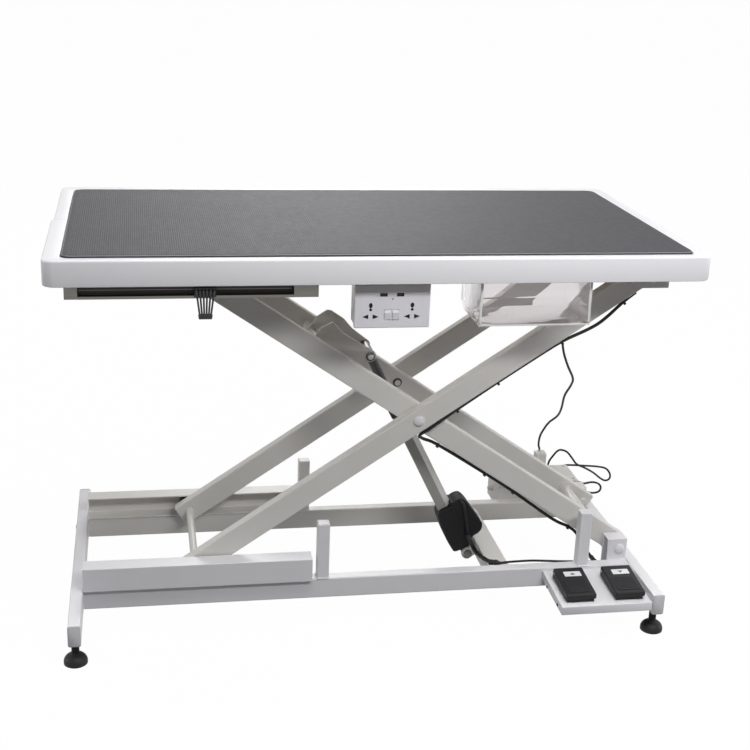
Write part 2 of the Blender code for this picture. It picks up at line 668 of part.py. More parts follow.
# Lever that the actuator pushes: a cross tube, two plates welded on it and a pin stub outside each plate.
# The rear plate is full and the front one is hollowed along its top.
def lever(inner):
    half = INNER_GAP_Y - SEAT_GAP
    root = (LEVER_TUBE_X, 0)
    tube = bmesh.new()
    add_ring_prism(tube, circle(root, LEVER_TUBE_RADIUS, 24), circle(root, LEVER_TUBE_RADIUS - TUBE_WALL, 24),
                   "y", -half, half)
    made = finish("lever", tube, WHITE_COAT, inner)
    low = -LEVER_TUBE_RADIUS - LEVER_PLATE_THICK
    left = LEVER_TUBE_X - LEVER_TUBE_RADIUS - WELD_DEPTH
    tip = arc((LEVER_PIN_X, LEVER_PIN_Z), LEVER_TIP_RADIUS, 100, -80, 8)
    start, end = [(left, low), (left, LEVER_PEAK - 0.029)], tip + [(LEVER_TUBE_X + 0.040, low)]
    full = start + [(LEVER_TUBE_X - 0.004, LEVER_PEAK - 0.003), (LEVER_TUBE_X + 0.004, LEVER_PEAK),
                    (LEVER_TUBE_X + 0.037, LEVER_PEAK), (LEVER_TUBE_X + 0.066, LEVER_PEAK - 0.008)] + end
    hollowed = start + [(LEVER_TUBE_X - 0.002, LEVER_PEAK - 0.006),
                        (LEVER_TUBE_X + 0.031, LEVER_PIN_Z + 0.0095)] + end
    plates, hollow, heads = bmesh.new(), bmesh.new(), bmesh.new()
    outside = LEVER_PLATE_Y + LEVER_PLATE_THICK
    for sign, outline in ((-1, hollowed), (1, full)):
        add_prism(plates, outline, "y", *both_ways(sign, LEVER_PLATE_Y, outside))
        add_cylinder(heads, "y", (LEVER_PIN_X, 0, LEVER_PIN_Z), LEVER_HEAD_RADIUS,
                     *both_ways(sign, outside - WELD_DEPTH, outside + LEVER_HEAD_RISE))
    weld(made, plates)
    weld(made, heads)
    add_cylinder(hollow, "y", (LEVER_TUBE_X, 0, 0), LEVER_TUBE_RADIUS - TUBE_WALL, -2 * half, 2 * half)
    cut(made, hollow)


# Gearbox and motor in one moulding with the lower eye, then the guide tube and the rod with its end boss.
def actuator(frame, length):
    side = ACTUATOR_TUBE_HALF + WELD_DEPTH
    inner_side = MOTOR_SIDE - 0.014
    wide = GEARBOX_SIDE
    gearbox = [(0.004 - wide, HOUSING_LOW), (0.001 - wide, HOUSING_LOW + 0.009), (-wide, HOUSING_LOW + 0.039),
               (0.0025 - wide, HOUSING_TOP - 0.026), (0.007 - wide, HOUSING_TOP - 0.007),
               (0.013 - wide, HOUSING_TOP), (side + 0.004, HOUSING_TOP), (side + 0.004, HOUSING_LOW)]
    body = bmesh.new()
    add_prism(body, gearbox, "y", -HOUSING_HALF_WIDTH, HOUSING_HALF_WIDTH)
    housing = finish("actuator_housing", body, BLACK_PLASTIC, frame)
    round_edges(housing, 0.004)
    motor = bmesh.new()
    lobe = [(side, MOTOR_LOW), (inner_side - 0.004, MOTOR_LOW), (MOTOR_SIDE - 0.003, MOTOR_LOW + 0.008),
            (MOTOR_SIDE, MOTOR_LOW + 0.022), (MOTOR_SIDE - 0.004, MOTOR_LOW + 0.042),
            (inner_side, MOTOR_TOP - 0.016), (inner_side - 0.008, MOTOR_TOP), (side, MOTOR_TOP)]
    waist = HOUSING_HALF_WIDTH - 0.003
    add_prism(motor, lobe, "y", -waist, waist)
    weld(housing, motor)
    eye = bmesh.new()
    neck = arc((0, 0), EYE_RADIUS, 180, 360, 12)
    add_prism(eye, neck + [(EYE_RADIUS, HOUSING_LOW + 0.020), (-EYE_RADIUS, HOUSING_LOW + 0.020)], "y",
              -EYE_HALF_WIDTH, EYE_HALF_WIDTH)
    weld(housing, eye)
    bore = bmesh.new()
    add_cylinder(bore, "y", (0, 0, 0), PIN_RADIUS + RUN_GAP, -2 * EYE_HALF_WIDTH, 2 * EYE_HALF_WIDTH)
    cut(housing, bore)

    body = bmesh.new()
    square = rounded_rectangle(2 * ACTUATOR_TUBE_HALF, 2 * ACTUATOR_TUBE_HALF, ACTUATOR_TUBE_CORNER, 7)
    add_ring_prism(body, square, circle((0, 0), ROD_RADIUS + RUN_GAP, 32), "z", HOUSING_TOP + SEAT_GAP,
                   ACTUATOR_TUBE_TOP)
    finish("actuator_tube", body, GREY_TUBE, frame, True)

    body = bmesh.new()
    add_prism(body, circle((0, 0), ROD_RADIUS, 32), "z", length - ROD_LENGTH, length)
    rod = finish("actuator_rod", body, BLACK_PLASTIC, frame, True)
    boss = bmesh.new()
    half = LEVER_PLATE_Y - RUN_GAP
    add_cylinder(boss, "y", (0, 0, length), ROD_BOSS_RADIUS, -half, half)
    weld(rod, boss)


# One half of the rim: an L-section along half the table's edge, ending at the middle of each short side.
def rim_half(name, sign, table):
    reach = MAT_BACK if sign > 0 else -MAT_FRONT
    opening = (MAT_LENGTH + 2 * MAT_CLEARANCE, 2 * (reach + MAT_CLEARANCE), MAT_CORNER)
    skirt = (TABLE_LENGTH - 2 * RIM_WALL, TABLE_WIDTH - 2 * RIM_WALL, RIM_CORNER - RIM_WALL)
    lines = []
    for length, width, radius in ((TABLE_LENGTH, TABLE_WIDTH, RIM_CORNER), skirt, opening):
        half = [p for p in rounded_rectangle(length, width, radius) if p[1] > 0]
        lines.append([(length / 2, SEAT_GAP)] + half + [(-length / 2, SEAT_GAP)])
    top, low = TABLE_ABOVE_PIVOT, TABLE_ABOVE_PIVOT - RIM_HEIGHT
    shelf = top - RIM_WALL
    body = bmesh.new()
    sections = []
    for outer, wall, edge in zip(*lines):
        profile = [(outer, low), (outer, top), (edge, top), (edge, shelf), (wall, shelf), (wall, low)]
        sections.append([body.verts.new((p[0] - PIVOT_X, sign * p[1], z)) for p, z in profile])
    for a, b in zip(sections, sections[1:]):
        for k in range(len(a)):
            n = (k + 1) % len(a)
            body.faces.new((a[k], b[k], b[n], a[n]))
    body.faces.new(sections[0])
    body.faces.new(sections[-1][::-1])
    finish(name, body, WHITE_RIM, table)


def table_top(table):
    rim_half("rim_front", -1, table)
    rim_half("rim_rear", 1, table)
    inset = RIM_WALL + SEAT_GAP
    board_top, board_low = BOARD_TOP - TABLE_PIVOT.z, BOARD_BOTTOM - TABLE_PIVOT.z
    board = rounded_rectangle(TABLE_LENGTH - 2 * inset, TABLE_WIDTH - 2 * inset, RIM_CORNER - inset)
    middle = (MAT_FRONT + MAT_BACK) / 2
    mat = [(x, y + middle) for x, y in rounded_rectangle(MAT_LENGTH, MAT_BACK - MAT_FRONT, MAT_CORNER)]
    mat_low = board_top + SEAT_GAP
    for name, outline, low, high, surface in (("table_board", board, board_low, board_top, BOARD_WOOD),
                                              ("mat", mat, mat_low, mat_low + MAT_THICK, MAT_RUBBER)):
        body = bmesh.new()
        add_prism(body, [(x - PIVOT_X, y) for x, y in outline], "z", low, high)
        finish(name, body, surface, table)


# Long rails under the board, each with its roller channel and its pivot bracket welded on.
def table_rails(table):
    for side, sign in SIDES.items():
        outer = TABLE_RAIL_FACE_Y
        low_y, high_y = both_ways(sign, TABLE_WEB_Y, outer)
        body = bmesh.new()
        add_tube(body, "x", (TABLE_RAIL_LEFT - PIVOT_X, low_y, TABLE_RAIL_ABOVE_PIVOT),
                 (TABLE_RAIL_RIGHT - PIVOT_X, high_y, UNDER_BOARD - TABLE_PIVOT.z), TUBE_WALL)
        rail = finish("table_rail_" + side, body, WHITE_COAT, table)
        channel = bmesh.new()
        add_prism(channel, channel_outline(sign, sign * (TABLE_WEB_Y + WELD_DEPTH), -CHANNEL_HEIGHT / 2),
                  "x", TABLE_CHANNEL_LEFT - PIVOT_X, TABLE_CHANNEL_LEFT + CHANNEL_LENGTH - PIVOT_X)
        weld(rail, channel)
        bracket = bmesh.new()
        add_prism(bracket, bracket_outline(sign * outer, sign * (OUTER_FACE_Y + TABLE_BRACKET_CLEAR),
                                           -TABLE_BRACKET_DROP, TABLE_RAIL_ABOVE_PIVOT + WELD_DEPTH),
                  "x", -TABLE_BRACKET_LEFT, TABLE_BRACKET_RIGHT)
        weld(rail, bracket)
        hole = bmesh.new()
        add_cylinder(hole, "y", (0, 0, 0), BOLT_RADIUS + SEAT_GAP, *both_ways(sign, INNER_FACE_Y, 2 * outer))
        cut(rail, hole)


# Places in the table's frame are worked out in world heights, so they are shifted to its pivot.
def from_pivot(x, y, z):
    return (x - TABLE_PIVOT.x, y, z - TABLE_PIVOT.z)


# Slotted rail between two end blocks, and a carrier of hooks that slides in it.
def hook_rail(table):
    low = RIM_BOTTOM - HOOK_RAIL_DROP
    high = low + HOOK_RAIL_HEIGHT
    front, back, wall = HOOK_RAIL_FRONT, HOOK_RAIL_FRONT + HOOK_RAIL_DEPTH, HOOK_RAIL_WALL
    slot_left, slot_right = HOOK_RAIL_LEFT + HOOK_RAIL_END_LEFT, HOOK_RAIL_RIGHT - HOOK_RAIL_END_RIGHT
    section = [(front, low), (back, low), (back, high), (front, high), (front, high - wall),
               (back - wall, high - wall), (back - wall, low + wall), (front, low + wall)]
    body = bmesh.new()
    add_prism(body, [(y, z - TABLE_PIVOT.z) for y, z in section], "x",
              slot_left - WELD_DEPTH - PIVOT_X, slot_right + WELD_DEPTH - PIVOT_X)
    rail = finish("hook_rail", body, ALUMINIUM, table)
    blocks = bmesh.new()
    for left, right in ((HOOK_RAIL_LEFT, slot_left), (slot_right, HOOK_RAIL_RIGHT)):
        add_box(blocks, from_pivot(left, front, low), from_pivot(right, back, UNDER_BOARD))
    weld(rail, blocks)

    half = HOOK_CARRIER_WIDTH / 2
    plate = front - HOOK_RAIL_WALL
    body = bmesh.new()
    slack = wall + RUN_GAP
    add_box(body, (-half, plate, slack), (half, back - slack, HOOK_RAIL_HEIGHT - slack))
    hooks = finish("hook_set", body, BLACK_PLASTIC, None, True)
    hooks.location = (HOOK_X, 0, low)
    r, knob = HOOK_KNOB_RADIUS, HOOK_KNOB_LENGTH
    profile = [(0, 0), (r, r), (r, knob - r), (HOOK_WIRE_RADIUS, knob), (HOOK_WIRE_RADIUS, HOOK_LENGTH),
               (0, HOOK_LENGTH)]
    wires = bmesh.new()
    top = HOOK_RAIL_HEIGHT - wall - 2 * RUN_GAP
    for i in range(HOOK_COUNT):
        step = i - (HOOK_COUNT - 1) / 2
        single = bmesh.new()
        add_turned(single, profile, "z", (0, 0, 0), 10)
        lean = math.atan2(step * (HOOK_TOP_SPACING - HOOK_LOW_SPACING), HOOK_LENGTH)
        place = Matrix.Translation((step * HOOK_LOW_SPACING, plate, top - HOOK_LENGTH))
        single.transform(place @ Matrix.Rotation(lean, 4, "Y"))
        copy_into(wires, single)
    weld(hooks, wires)


def copy_into(target, source):
    kept = {v: target.verts.new(v.co) for v in source.verts}
    for face in source.faces:
        target.faces.new([kept[v] for v in face.verts])
    source.free()


# Wall-type double socket: a back box under the board, its front plate and two rocker switches.
def socket_set(table):
    low = RIM_BOTTOM - SOCKET_DROP
    high = low + SOCKET_HEIGHT
    left, right = SOCKET_X - SOCKET_WIDTH / 2, SOCKET_X + SOCKET_WIDTH / 2
    front, back = SOCKET_FRONT_Y, SOCKET_FRONT_Y + SOCKET_PLATE_THICK
    body = bmesh.new()
    add_box(body, from_pivot(left, front, low), from_pivot(right, back, high))
    plate = finish("socket_plate", body, WHITE_PLATE, table)
    round_edges(plate, SOCKET_PLATE_ROUND)
    pockets = bmesh.new()
    middle = low + ROCKER_RISE
    half_x, half_z = ROCKER_WIDTH / 2, ROCKER_HEIGHT / 2
    for name, step in (("rocker_left", -0.5), ("rocker_right", 0.5)):
        x = SOCKET_X + ROCKER_OFFSET + step * ROCKER_SPACING
        add_box(pockets, from_pivot(x - half_x - RUN_GAP, front - RUN_GAP, middle - half_z - RUN_GAP),
                from_pivot(x + half_x + RUN_GAP, front + ROCKER_DEPTH + RUN_GAP, middle + half_z + RUN_GAP))
        face = -ROCKER_PROUD
        outline = [(face, ROCKER_PROUD - half_z), (face, half_z - ROCKER_PROUD), (0, half_z),
                   (ROCKER_DEPTH / 2, half_z), (ROCKER_DEPTH, 0), (ROCKER_DEPTH / 2, -half_z), (0, -half_z)]
        rocker = bmesh.new()
        add_prism(rocker, outline, "x", -half_x, half_x)
        finish(name, rocker, WHITE_PLATE).location = (x, front, middle)
    cut(plate, pockets)
    inset, wall = SOCKET_BOX_INSET, SOCKET_BOX_WALL
    near, far = back + SEAT_GAP, back + SEAT_GAP + SOCKET_BOX_DEPTH
    body = bmesh.new()
    add_box(body, from_pivot(left + inset, near, low + inset), from_pivot(right - inset, far, UNDER_BOARD))
    box = finish("socket_box", body, WHITE_PLATE, table)
    hollow = bmesh.new()
    add_box(hollow, from_pivot(left + inset + wall, near - wall, low + inset + wall),
            from_pivot(right - inset - wall, far - wall, high - inset))
    cut(box, hollow)


# Open tray with a sloped back lower edge, notched under the table rail; its side flanges slide on the lips
# of a folded hanger.
def tray_and_hanger(table):
    low, high = RIM_BOTTOM - TRAY_DROP, RIM_BOTTOM - TRAY_TOP_DROP
    wall = TRAY_WALL
    slope = TRAY_BACK - TRAY_CHAMFER_RUN
    notch_y = -TABLE_RAIL_FACE_Y - TRAY_RAIL_CLEAR
    notch_z = TABLE_PIVOT.z + TABLE_RAIL_ABOVE_PIVOT - TRAY_RAIL_CLEAR
    outer = [(TRAY_FRONT, low), (slope, low), (TRAY_BACK, low + TRAY_CHAMFER_RISE), (TRAY_BACK, notch_z),
             (notch_y, notch_z), (notch_y, high), (TRAY_FRONT, high)]
    near, far = TRAY_FRONT + wall, TRAY_BACK - wall
    inner = [(near, low + wall), (slope, low + wall), (far, low + TRAY_CHAMFER_RISE + wall), (far, high + wall),
             (near, high + wall)]
    body = bmesh.new()
    add_prism(body, outer, "x", TRAY_LEFT, TRAY_RIGHT)
    tray = finish("tray", body, ACRYLIC)
    flanges = bmesh.new()
    for edge, sign in ((TRAY_LEFT, -1), (TRAY_RIGHT, 1)):
        left, right = sorted((edge - sign * wall / 2, edge + sign * TRAY_FLANGE))
        add_box(flanges, (left, TRAY_FRONT + wall, high - wall), (right, notch_y - wall, high - wall / 4))
    weld(tray, flanges)
    hollow = bmesh.new()
    add_prism(hollow, inner, "x", TRAY_LEFT + wall, TRAY_RIGHT - wall)
    cut(tray, hollow)

    lip_top, roof = high - wall - RUN_GAP, UNDER_BOARD - HANGER_WALL
    lip_low = lip_top - HANGER_WALL
    web_left, web_right = TRAY_LEFT - TRAY_FLANGE - RUN_GAP, TRAY_RIGHT + TRAY_FLANGE + RUN_GAP
    tip_left, tip_right = TRAY_LEFT - HANGER_WALL, TRAY_RIGHT + HANGER_WALL
    out_left, out_right = web_left - HANGER_WALL, web_right + HANGER_WALL
    section = [(out_left, UNDER_BOARD), (out_left, lip_low), (tip_left, lip_low), (tip_left, lip_top),
               (web_left, lip_top), (web_left, roof), (web_right, roof), (web_right, lip_top),
               (tip_right, lip_top), (tip_right, lip_low), (out_right, lip_low), (out_right, UNDER_BOARD)]
    body = bmesh.new()
    add_prism(body, [(x - PIVOT_X, z - TABLE_PIVOT.z) for x, z in section], "y",
              TRAY_FRONT + HANGER_SET_BACK, -TABLE_RAIL_FACE_Y - SEAT_GAP)
    finish("tray_hanger", body, WHITE_COAT, table)


# Pedal plate with two sprung treadles over their switch bases.
def pedals():
    right, back, front = BAR_INNER_X - SEAT_GAP, -RAIL_Y - SEAT_GAP, -BASE_WIDTH / 2
    top, thick = PEDAL_PLATE_TOP, PEDAL_PLATE_THICK
    slope = PEDAL_PLATE_RISE / (back - front)
    rear, lip = top + PEDAL_PLATE_RISE, PEDAL_PLATE_LIP
    body = bmesh.new()
    add_prism(body, [(front, top - lip), (back, rear - lip), (back, rear), (front, top)], "x",
              PEDAL_PLATE_LEFT, right)
    plate = finish("pedal_plate", body, WHITE_COAT)
    under = bmesh.new()
    near, far = front + thick, back + thick
    near_top, far_top = top - thick + slope * thick, rear - thick + slope * thick
    hollow = [(near, near_top - 2 * lip), (far, far_top - 2 * lip), (far, far_top), (near, near_top)]
    add_prism(under, hollow, "x", PEDAL_PLATE_LEFT + thick, right + thick)
    cut(plate, under)
    seat = top + SEAT_GAP
    skirt, edge, shell = seat + PEDAL_SKIRT_LIFT, PEDAL_EDGE, PEDAL_SHELL
    front_top, back_top = seat + PEDAL_FRONT_HEIGHT, seat + PEDAL_BACK_HEIGHT
    hinge_y, hinge_z = PEDAL_BACK - PEDAL_HINGE_INSET, seat + PEDAL_HINGE_HEIGHT
    outline = [(PEDAL_FRONT, skirt), (PEDAL_FRONT, front_top - edge), (PEDAL_FRONT + edge, front_top),
               (PEDAL_BACK - edge, back_top), (PEDAL_BACK, back_top - edge), (PEDAL_BACK, skirt)]
    inside = [(PEDAL_FRONT + shell, skirt - edge), (PEDAL_FRONT + shell, front_top - shell - edge / 2),
              (PEDAL_FRONT + 2 * shell, front_top - shell), (PEDAL_BACK - 2 * shell, back_top - shell),
              (PEDAL_BACK - shell, back_top - shell - edge / 2), (PEDAL_BACK - shell, skirt - edge)]
    near, far = PEDAL_FRONT + shell + 2 * RUN_GAP, PEDAL_BACK - shell - 2 * RUN_GAP
    underside = [(near, seat + slope * (near - front)), (far, seat + slope * (far - front))]
    for name, before in zip(("up", "down"), PEDAL_BEFORE_BAR):
        x = BAR_INNER_X - before
        half = PEDAL_WIDTH / 2 - shell - RUN_GAP
        base = bmesh.new()
        add_prism(base, underside + [(far, seat + PEDAL_BASE_HEIGHT), (near, seat + PEDAL_BASE_HEIGHT)], "x",
                  x - half, x + half)
        finish("pedal_base_" + name, base, BLACK_PLASTIC)
        body = bmesh.new()
        shape = [(y - hinge_y, z - hinge_z) for y, z in outline]
        add_prism(body, shape, "x", -PEDAL_WIDTH / 2, PEDAL_WIDTH / 2)
        treadle = finish("treadle_" + name, body, BLACK_PLASTIC)
        treadle.location = (x, hinge_y, hinge_z)
        hollow = bmesh.new()
        add_prism(hollow, [(y - hinge_y, z - hinge_z) for y, z in inside], "x",
                  shell - PEDAL_WIDTH / 2, PEDAL_WIDTH / 2 - shell)
        cut(treadle, hollow)


# Control box behind the rear rail, with a gland for each cord end and an open one for the mains lead.
def control_box():
    wall = CONTROL_WALL
    body = bmesh.new()
    add_box(body, (CONTROL_LEFT, CONTROL_FRONT, CONTROL_BASE), (CONTROL_RIGHT, CONTROL_BACK, CONTROL_TOP))
    box = finish("control_box", body, GREY_BOX)
    round_edges(box, CONTROL_ROUND)
    hollow = bmesh.new()
    add_box(hollow, (CONTROL_LEFT + wall, CONTROL_FRONT + wall, CONTROL_BASE + wall),
            (CONTROL_RIGHT - wall, CONTROL_BACK - wall, CONTROL_TOP - wall))
    cut(box, hollow)
    glands = bmesh.new()
    for axis, place in gland_places():
        add_cylinder(glands, axis, place, GLAND_RADIUS, -WELD_DEPTH, GLAND_LENGTH, 16)
    mains = (CONTROL_LEFT, CONTROL_FRONT + CONTROL_DEPTH / 2, CONTROL_BASE + CONTROL_HEIGHT / 2)
    add_cylinder(glands, "x", mains, GLAND_RADIUS, -GLAND_LENGTH, WELD_DEPTH, 16)
    weld(box, glands)
    bore = bmesh.new()
    add_cylinder(bore, "x", mains, MAINS_GLAND_BORE, -2 * GLAND_LENGTH, 2 * wall, 16)
    cut(box, bore)


# Cord entries: two on the box's back for the slack loop, two on its end for the small loop, one on its top.
def gland_places():
    return [("y", near_box(-0.0402, CONTROL_DEPTH, 0.0440)), ("y", near_box(-0.0142, CONTROL_DEPTH, 0.0440)),
            ("x", near_box(0, 0.0077, 0.0545)), ("x", near_box(0, 0.0077, 0.0345)),
            ("z", near_box(-0.1022, 0.0227, CONTROL_HEIGHT))]


# A place measured from the control box's right, front and lower faces.
def near_box(x, y, z):
    return Vector((CONTROL_RIGHT + x, CONTROL_FRONT + y, CONTROL_BASE + z))


# A place measured from the fixed pivot in the base.
def near_pivot(x, y, z):
    return BASE_PIVOT + Vector((x, y, z))


# The end of a cord at a gland and the next point, straight out from it.
def gland_exit(axis, place):
    clear = GLAND_LENGTH + SEAT_GAP
    return [place + Vector(spread_point(axis, along, (0, 0))) for along in (clear, clear + 4 * CORD_RADIUS)]


# Cables clipped under the front arms, in the arms' own frames.
def harness(inner, outer):
    under = -ARM_HEIGHT / 2 - HARNESS_RADIUS - SEAT_GAP
    outer_y, inner_y = -OUTER_FACE_Y + ARM_THICK / 2, -INNER_FACE_Y + ARM_THICK / 2
    cable("harness_outer", [(0.522, outer_y, under), (0.490, outer_y, under - 0.003),
                            (0.422, outer_y, under - 0.0135), (0.350, outer_y, under - 0.004),
                            (0.322, outer_y, under - 0.0015),
                            (0.274, outer_y, under - 0.0007), (0.180, outer_y, under - 0.0007),
                            (0.0775, outer_y, under - 0.0025), (0.020, outer_y, under - 0.005)],
          HARNESS_RADIUS, outer)
    cable("harness_inner", [(-0.5203, outer_y, 0.0056), (-0.5231, outer_y, -0.0023),
                            (-0.5265, outer_y + 0.003, -0.014), (-0.5285, outer_y + 0.012, -0.0305),
                            (-0.513, outer_y + 0.023, -0.0345), (-0.478, inner_y, under - 0.003),
                            (-0.380, inner_y, under - 0.001), (-0.275, inner_y, under - 0.001),
                            (-0.150, inner_y, under - 0.0065), (-0.105, inner_y, under - 0.002),
                            (-0.079, inner_y, under - 0.0045), (-0.050, inner_y, under - 0.018),
                            (-0.022, inner_y, under - 0.029), (-0.004, inner_y, under - 0.035)],
          HARNESS_RADIUS, inner)


# The free cords: one from the outer arm down to the control box, two loops at the box and the actuator's lead.
def free_cords():
    under = -ARM_HEIGHT / 2 - 2 * HARNESS_RADIUS - CORD_RADIUS - SEAT_GAP
    tie = CENTRE_PIVOT + Matrix.Rotation(-ARM_ANGLE, 3, "Y") @ Vector(
        (0.337, -OUTER_FACE_Y + ARM_THICK / 2, under - 0.0025))
    join, run = near_pivot(-0.0999, 0.100, 0.1985), Vector((-0.103, 0.712, -0.694))
    back_a, back_b, end_a, end_b, top = [gland_exit(*gland) for gland in gland_places()]
    upper = [(-0.1578, -0.137, 0.4472), (-0.1448, -0.130, 0.4182), (-0.1238, -0.108, 0.3832),
             (-0.1163, -0.080, 0.3574), (-0.1146, -0.040, 0.3188), (-0.1020, 0.010, 0.2706),
             (-0.0928, 0.058, 0.2342)]
    cable("hanging_cord_upper", [tie] + [near_pivot(*p) for p in upper] + [join - 0.012 * run, join],
          CORD_RADIUS)
    lower = [(-0.1027, 0.140, 0.1543), (-0.0957, 0.170, 0.1191), (-0.0859, 0.190, 0.0967),
             (-0.0838, 0.2015, 0.0752), (-0.0843, 0.2045, 0.0522)]
    cable("hanging_cord_lower", [join + SEAT_GAP * run, join + 0.012 * run] + [near_pivot(*p) for p in lower]
          + top[::-1], CORD_RADIUS)
    slack = [(-0.0400, 0.1227, 0.0490), (-0.0395, 0.1217, 0.0590), (-0.0382, 0.1152, 0.0730),
             (-0.0337, 0.1067, 0.0880), (-0.0242, 0.1047, 0.1015), (-0.0142, 0.1047, 0.1047),
             (0.0019, 0.1047, 0.0983), (0.0164, 0.1047, 0.0815), (0.0298, 0.1047, 0.0648),
             (0.0533, 0.1047, 0.0529), (0.0757, 0.1047, 0.0397), (0.0958, 0.1047, 0.0238),
             (0.1098, 0.1052, 0.0163), (0.1215, 0.1067, 0.0200), (0.1223, 0.1087, 0.0330),
             (0.1108, 0.1112, 0.0468), (0.0888, 0.1132, 0.0520), (0.0538, 0.1137, 0.0555),
             (0.0272, 0.1147, 0.0575), (0.0078, 0.1187, 0.0565), (-0.0062, 0.1232, 0.0510),
             (-0.0127, 0.1237, 0.0460)]
    cable("slack_loop", back_a + [near_box(*p) for p in slack] + back_b[::-1], CORD_RADIUS)
    small = [(0.0381, 0.0057, 0.0578), (0.0540, 0.0057, 0.0532), (0.0614, 0.0057, 0.0435),
             (0.0585, 0.0057, 0.0332), (0.0486, 0.0057, 0.0292), (0.0358, 0.0057, 0.0295)]
    cable("small_loop", end_a + [near_box(*p) for p in small] + end_b[::-1], CORD_RADIUS)
    lead = [(-0.3111, -0.0254, -0.0155), (-0.3111, -0.0335, -0.0155), (-0.3065, -0.042, -0.0255),
            (-0.3016, -0.060, -0.0353), (-0.2998, -0.082, -0.0353), (-0.2948, -0.115, -0.0310),
            (-0.2838, -0.137, -0.0299), (-0.2668, -0.1425, -0.0295), (-0.2438, -0.1410, -0.0293),
            (-0.2183, -0.1398, -0.0293), (-0.1888, -0.1402, -0.0293), (-0.1538, -0.145, -0.0295),
            (-0.1272, -0.1484, -0.0300), (-0.0788, -0.1515, -0.0313), (-0.0264, -0.1535, -0.0328)]
    cable("actuator_lead", [near_pivot(*p) for p in lead], LEAD_RADIUS)


table_frame = empty_frame("table_pivot", TABLE_PIVOT)
inner_frame = empty_frame("base_pivot", BASE_PIVOT, ARM_ANGLE)
outer_frame = empty_frame("centre_pivot", CENTRE_PIVOT, -ARM_ANGLE)
lever_pin = BASE_PIVOT + Matrix.Rotation(ARM_ANGLE, 3, "Y") @ Vector((LEVER_PIN_X, 0, LEVER_PIN_Z))
push = lever_pin - Vector((CLEVIS_X, 0, CLEVIS_Z))
actuator_frame = empty_frame("clevis_pivot", (CLEVIS_X, 0, CLEVIS_Z), math.atan2(push.x, push.z))

base_bars()
base_rails()
cross_tube()
levelling_feet()
scissor_arms(inner_frame, outer_frame)
pivot_bolts(outer_frame, table_frame)
axles_and_rollers(inner_frame, outer_frame)
lever(inner_frame)
actuator(actuator_frame, push.length)
table_top(table_frame)
table_rails(table_frame)
hook_rail(table_frame)
socket_set(table_frame)
tray_and_hanger(table_frame)
pedals()
control_box()
harness(inner_frame, outer_frame)
free_cords()
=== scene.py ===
# Looks of the electric grooming table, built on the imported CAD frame. Metres, +Z up.
import json
import math

import bmesh
import bpy
from mathutils import Matrix, Vector


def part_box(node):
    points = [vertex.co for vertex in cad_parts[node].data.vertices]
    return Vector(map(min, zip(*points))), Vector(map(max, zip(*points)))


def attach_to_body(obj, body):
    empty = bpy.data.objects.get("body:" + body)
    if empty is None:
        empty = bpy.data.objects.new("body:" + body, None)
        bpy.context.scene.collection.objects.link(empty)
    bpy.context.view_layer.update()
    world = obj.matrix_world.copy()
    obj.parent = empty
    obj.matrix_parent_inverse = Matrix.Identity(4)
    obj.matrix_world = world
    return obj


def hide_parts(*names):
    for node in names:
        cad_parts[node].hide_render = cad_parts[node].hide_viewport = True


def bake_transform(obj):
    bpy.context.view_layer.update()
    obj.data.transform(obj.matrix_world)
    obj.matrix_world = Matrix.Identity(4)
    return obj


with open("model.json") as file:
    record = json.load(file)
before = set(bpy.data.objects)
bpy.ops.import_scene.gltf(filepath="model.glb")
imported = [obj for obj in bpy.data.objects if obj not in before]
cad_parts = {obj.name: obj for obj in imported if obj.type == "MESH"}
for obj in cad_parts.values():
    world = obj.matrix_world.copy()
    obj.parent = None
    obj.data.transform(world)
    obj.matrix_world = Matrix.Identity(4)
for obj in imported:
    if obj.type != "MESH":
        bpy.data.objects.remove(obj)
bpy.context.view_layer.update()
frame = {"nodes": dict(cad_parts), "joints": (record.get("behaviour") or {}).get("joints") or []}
nodes = frame["nodes"]
joints = {j["name"]: j for j in frame["joints"]}
print("frame loaded:", len(nodes), "nodes")

# small helpers


# points given in millimetres
def mm(*points):
    return [tuple(value / 1000 for value in point) for point in points]


def linear(code):
    parts = [int(code[i:i + 2], 16) / 255 for i in (1, 3, 5)]
    return tuple(c / 12.92 if c <= 0.04045 else ((c + 0.055) / 1.055) ** 2.4 for c in parts) + (1.0,)


# an input is given by its name, or as i0, i1 ... by its place
def addNode(tree, kind, settings=None, **inputs):
    node = tree.nodes.new(kind)
    for key, value in (settings or {}).items():
        setattr(node, key, value)
    for key, value in inputs.items():
        byPlace = key[0] == "i" and key[1:].isdigit()
        socket = node.inputs[int(key[1:])] if byPlace else node.inputs[key.replace("_", " ")]
        if isinstance(value, bpy.types.NodeSocket):
            tree.links.new(value, socket)
        else:
            socket.default_value = value
    return node


def onAxis(axis, along, p):
    return {"x": (along, p[0], p[1]), "y": (p[0], along, p[1]), "z": (p[0], p[1], along)}[axis]


# faces between neighbouring closed rings of points, and one over each end
def joinRings(shape, rings):
    for a, b in zip(rings, rings[1:]):
        for i in range(len(a)):
            j = (i + 1) % len(a)
            shape.faces.new((a[i], a[j], b[j], b[i]))
    shape.faces.new(rings[0][::-1])
    shape.faces.new(rings[-1])


# an outline drawn out along an axis, as a new shape or added to one
def prism(outline, axis, low, high, shape=None):
    shape = shape or bmesh.new()
    joinRings(shape, [[shape.verts.new(onAxis(axis, along, p)) for p in outline] for along in (low, high)])
    return shape


def box(low, high, shape=None):
    outline = [(low[0], low[1]), (high[0], low[1]), (high[0], high[1]), (low[0], high[1])]
    return prism(outline, "z", low[2], high[2], shape)


def ringPoints(radius, sides):
    angles = [2 * math.pi * i / sides for i in range(sides)]
    return [(radius * math.cos(a), radius * math.sin(a)) for a in angles]


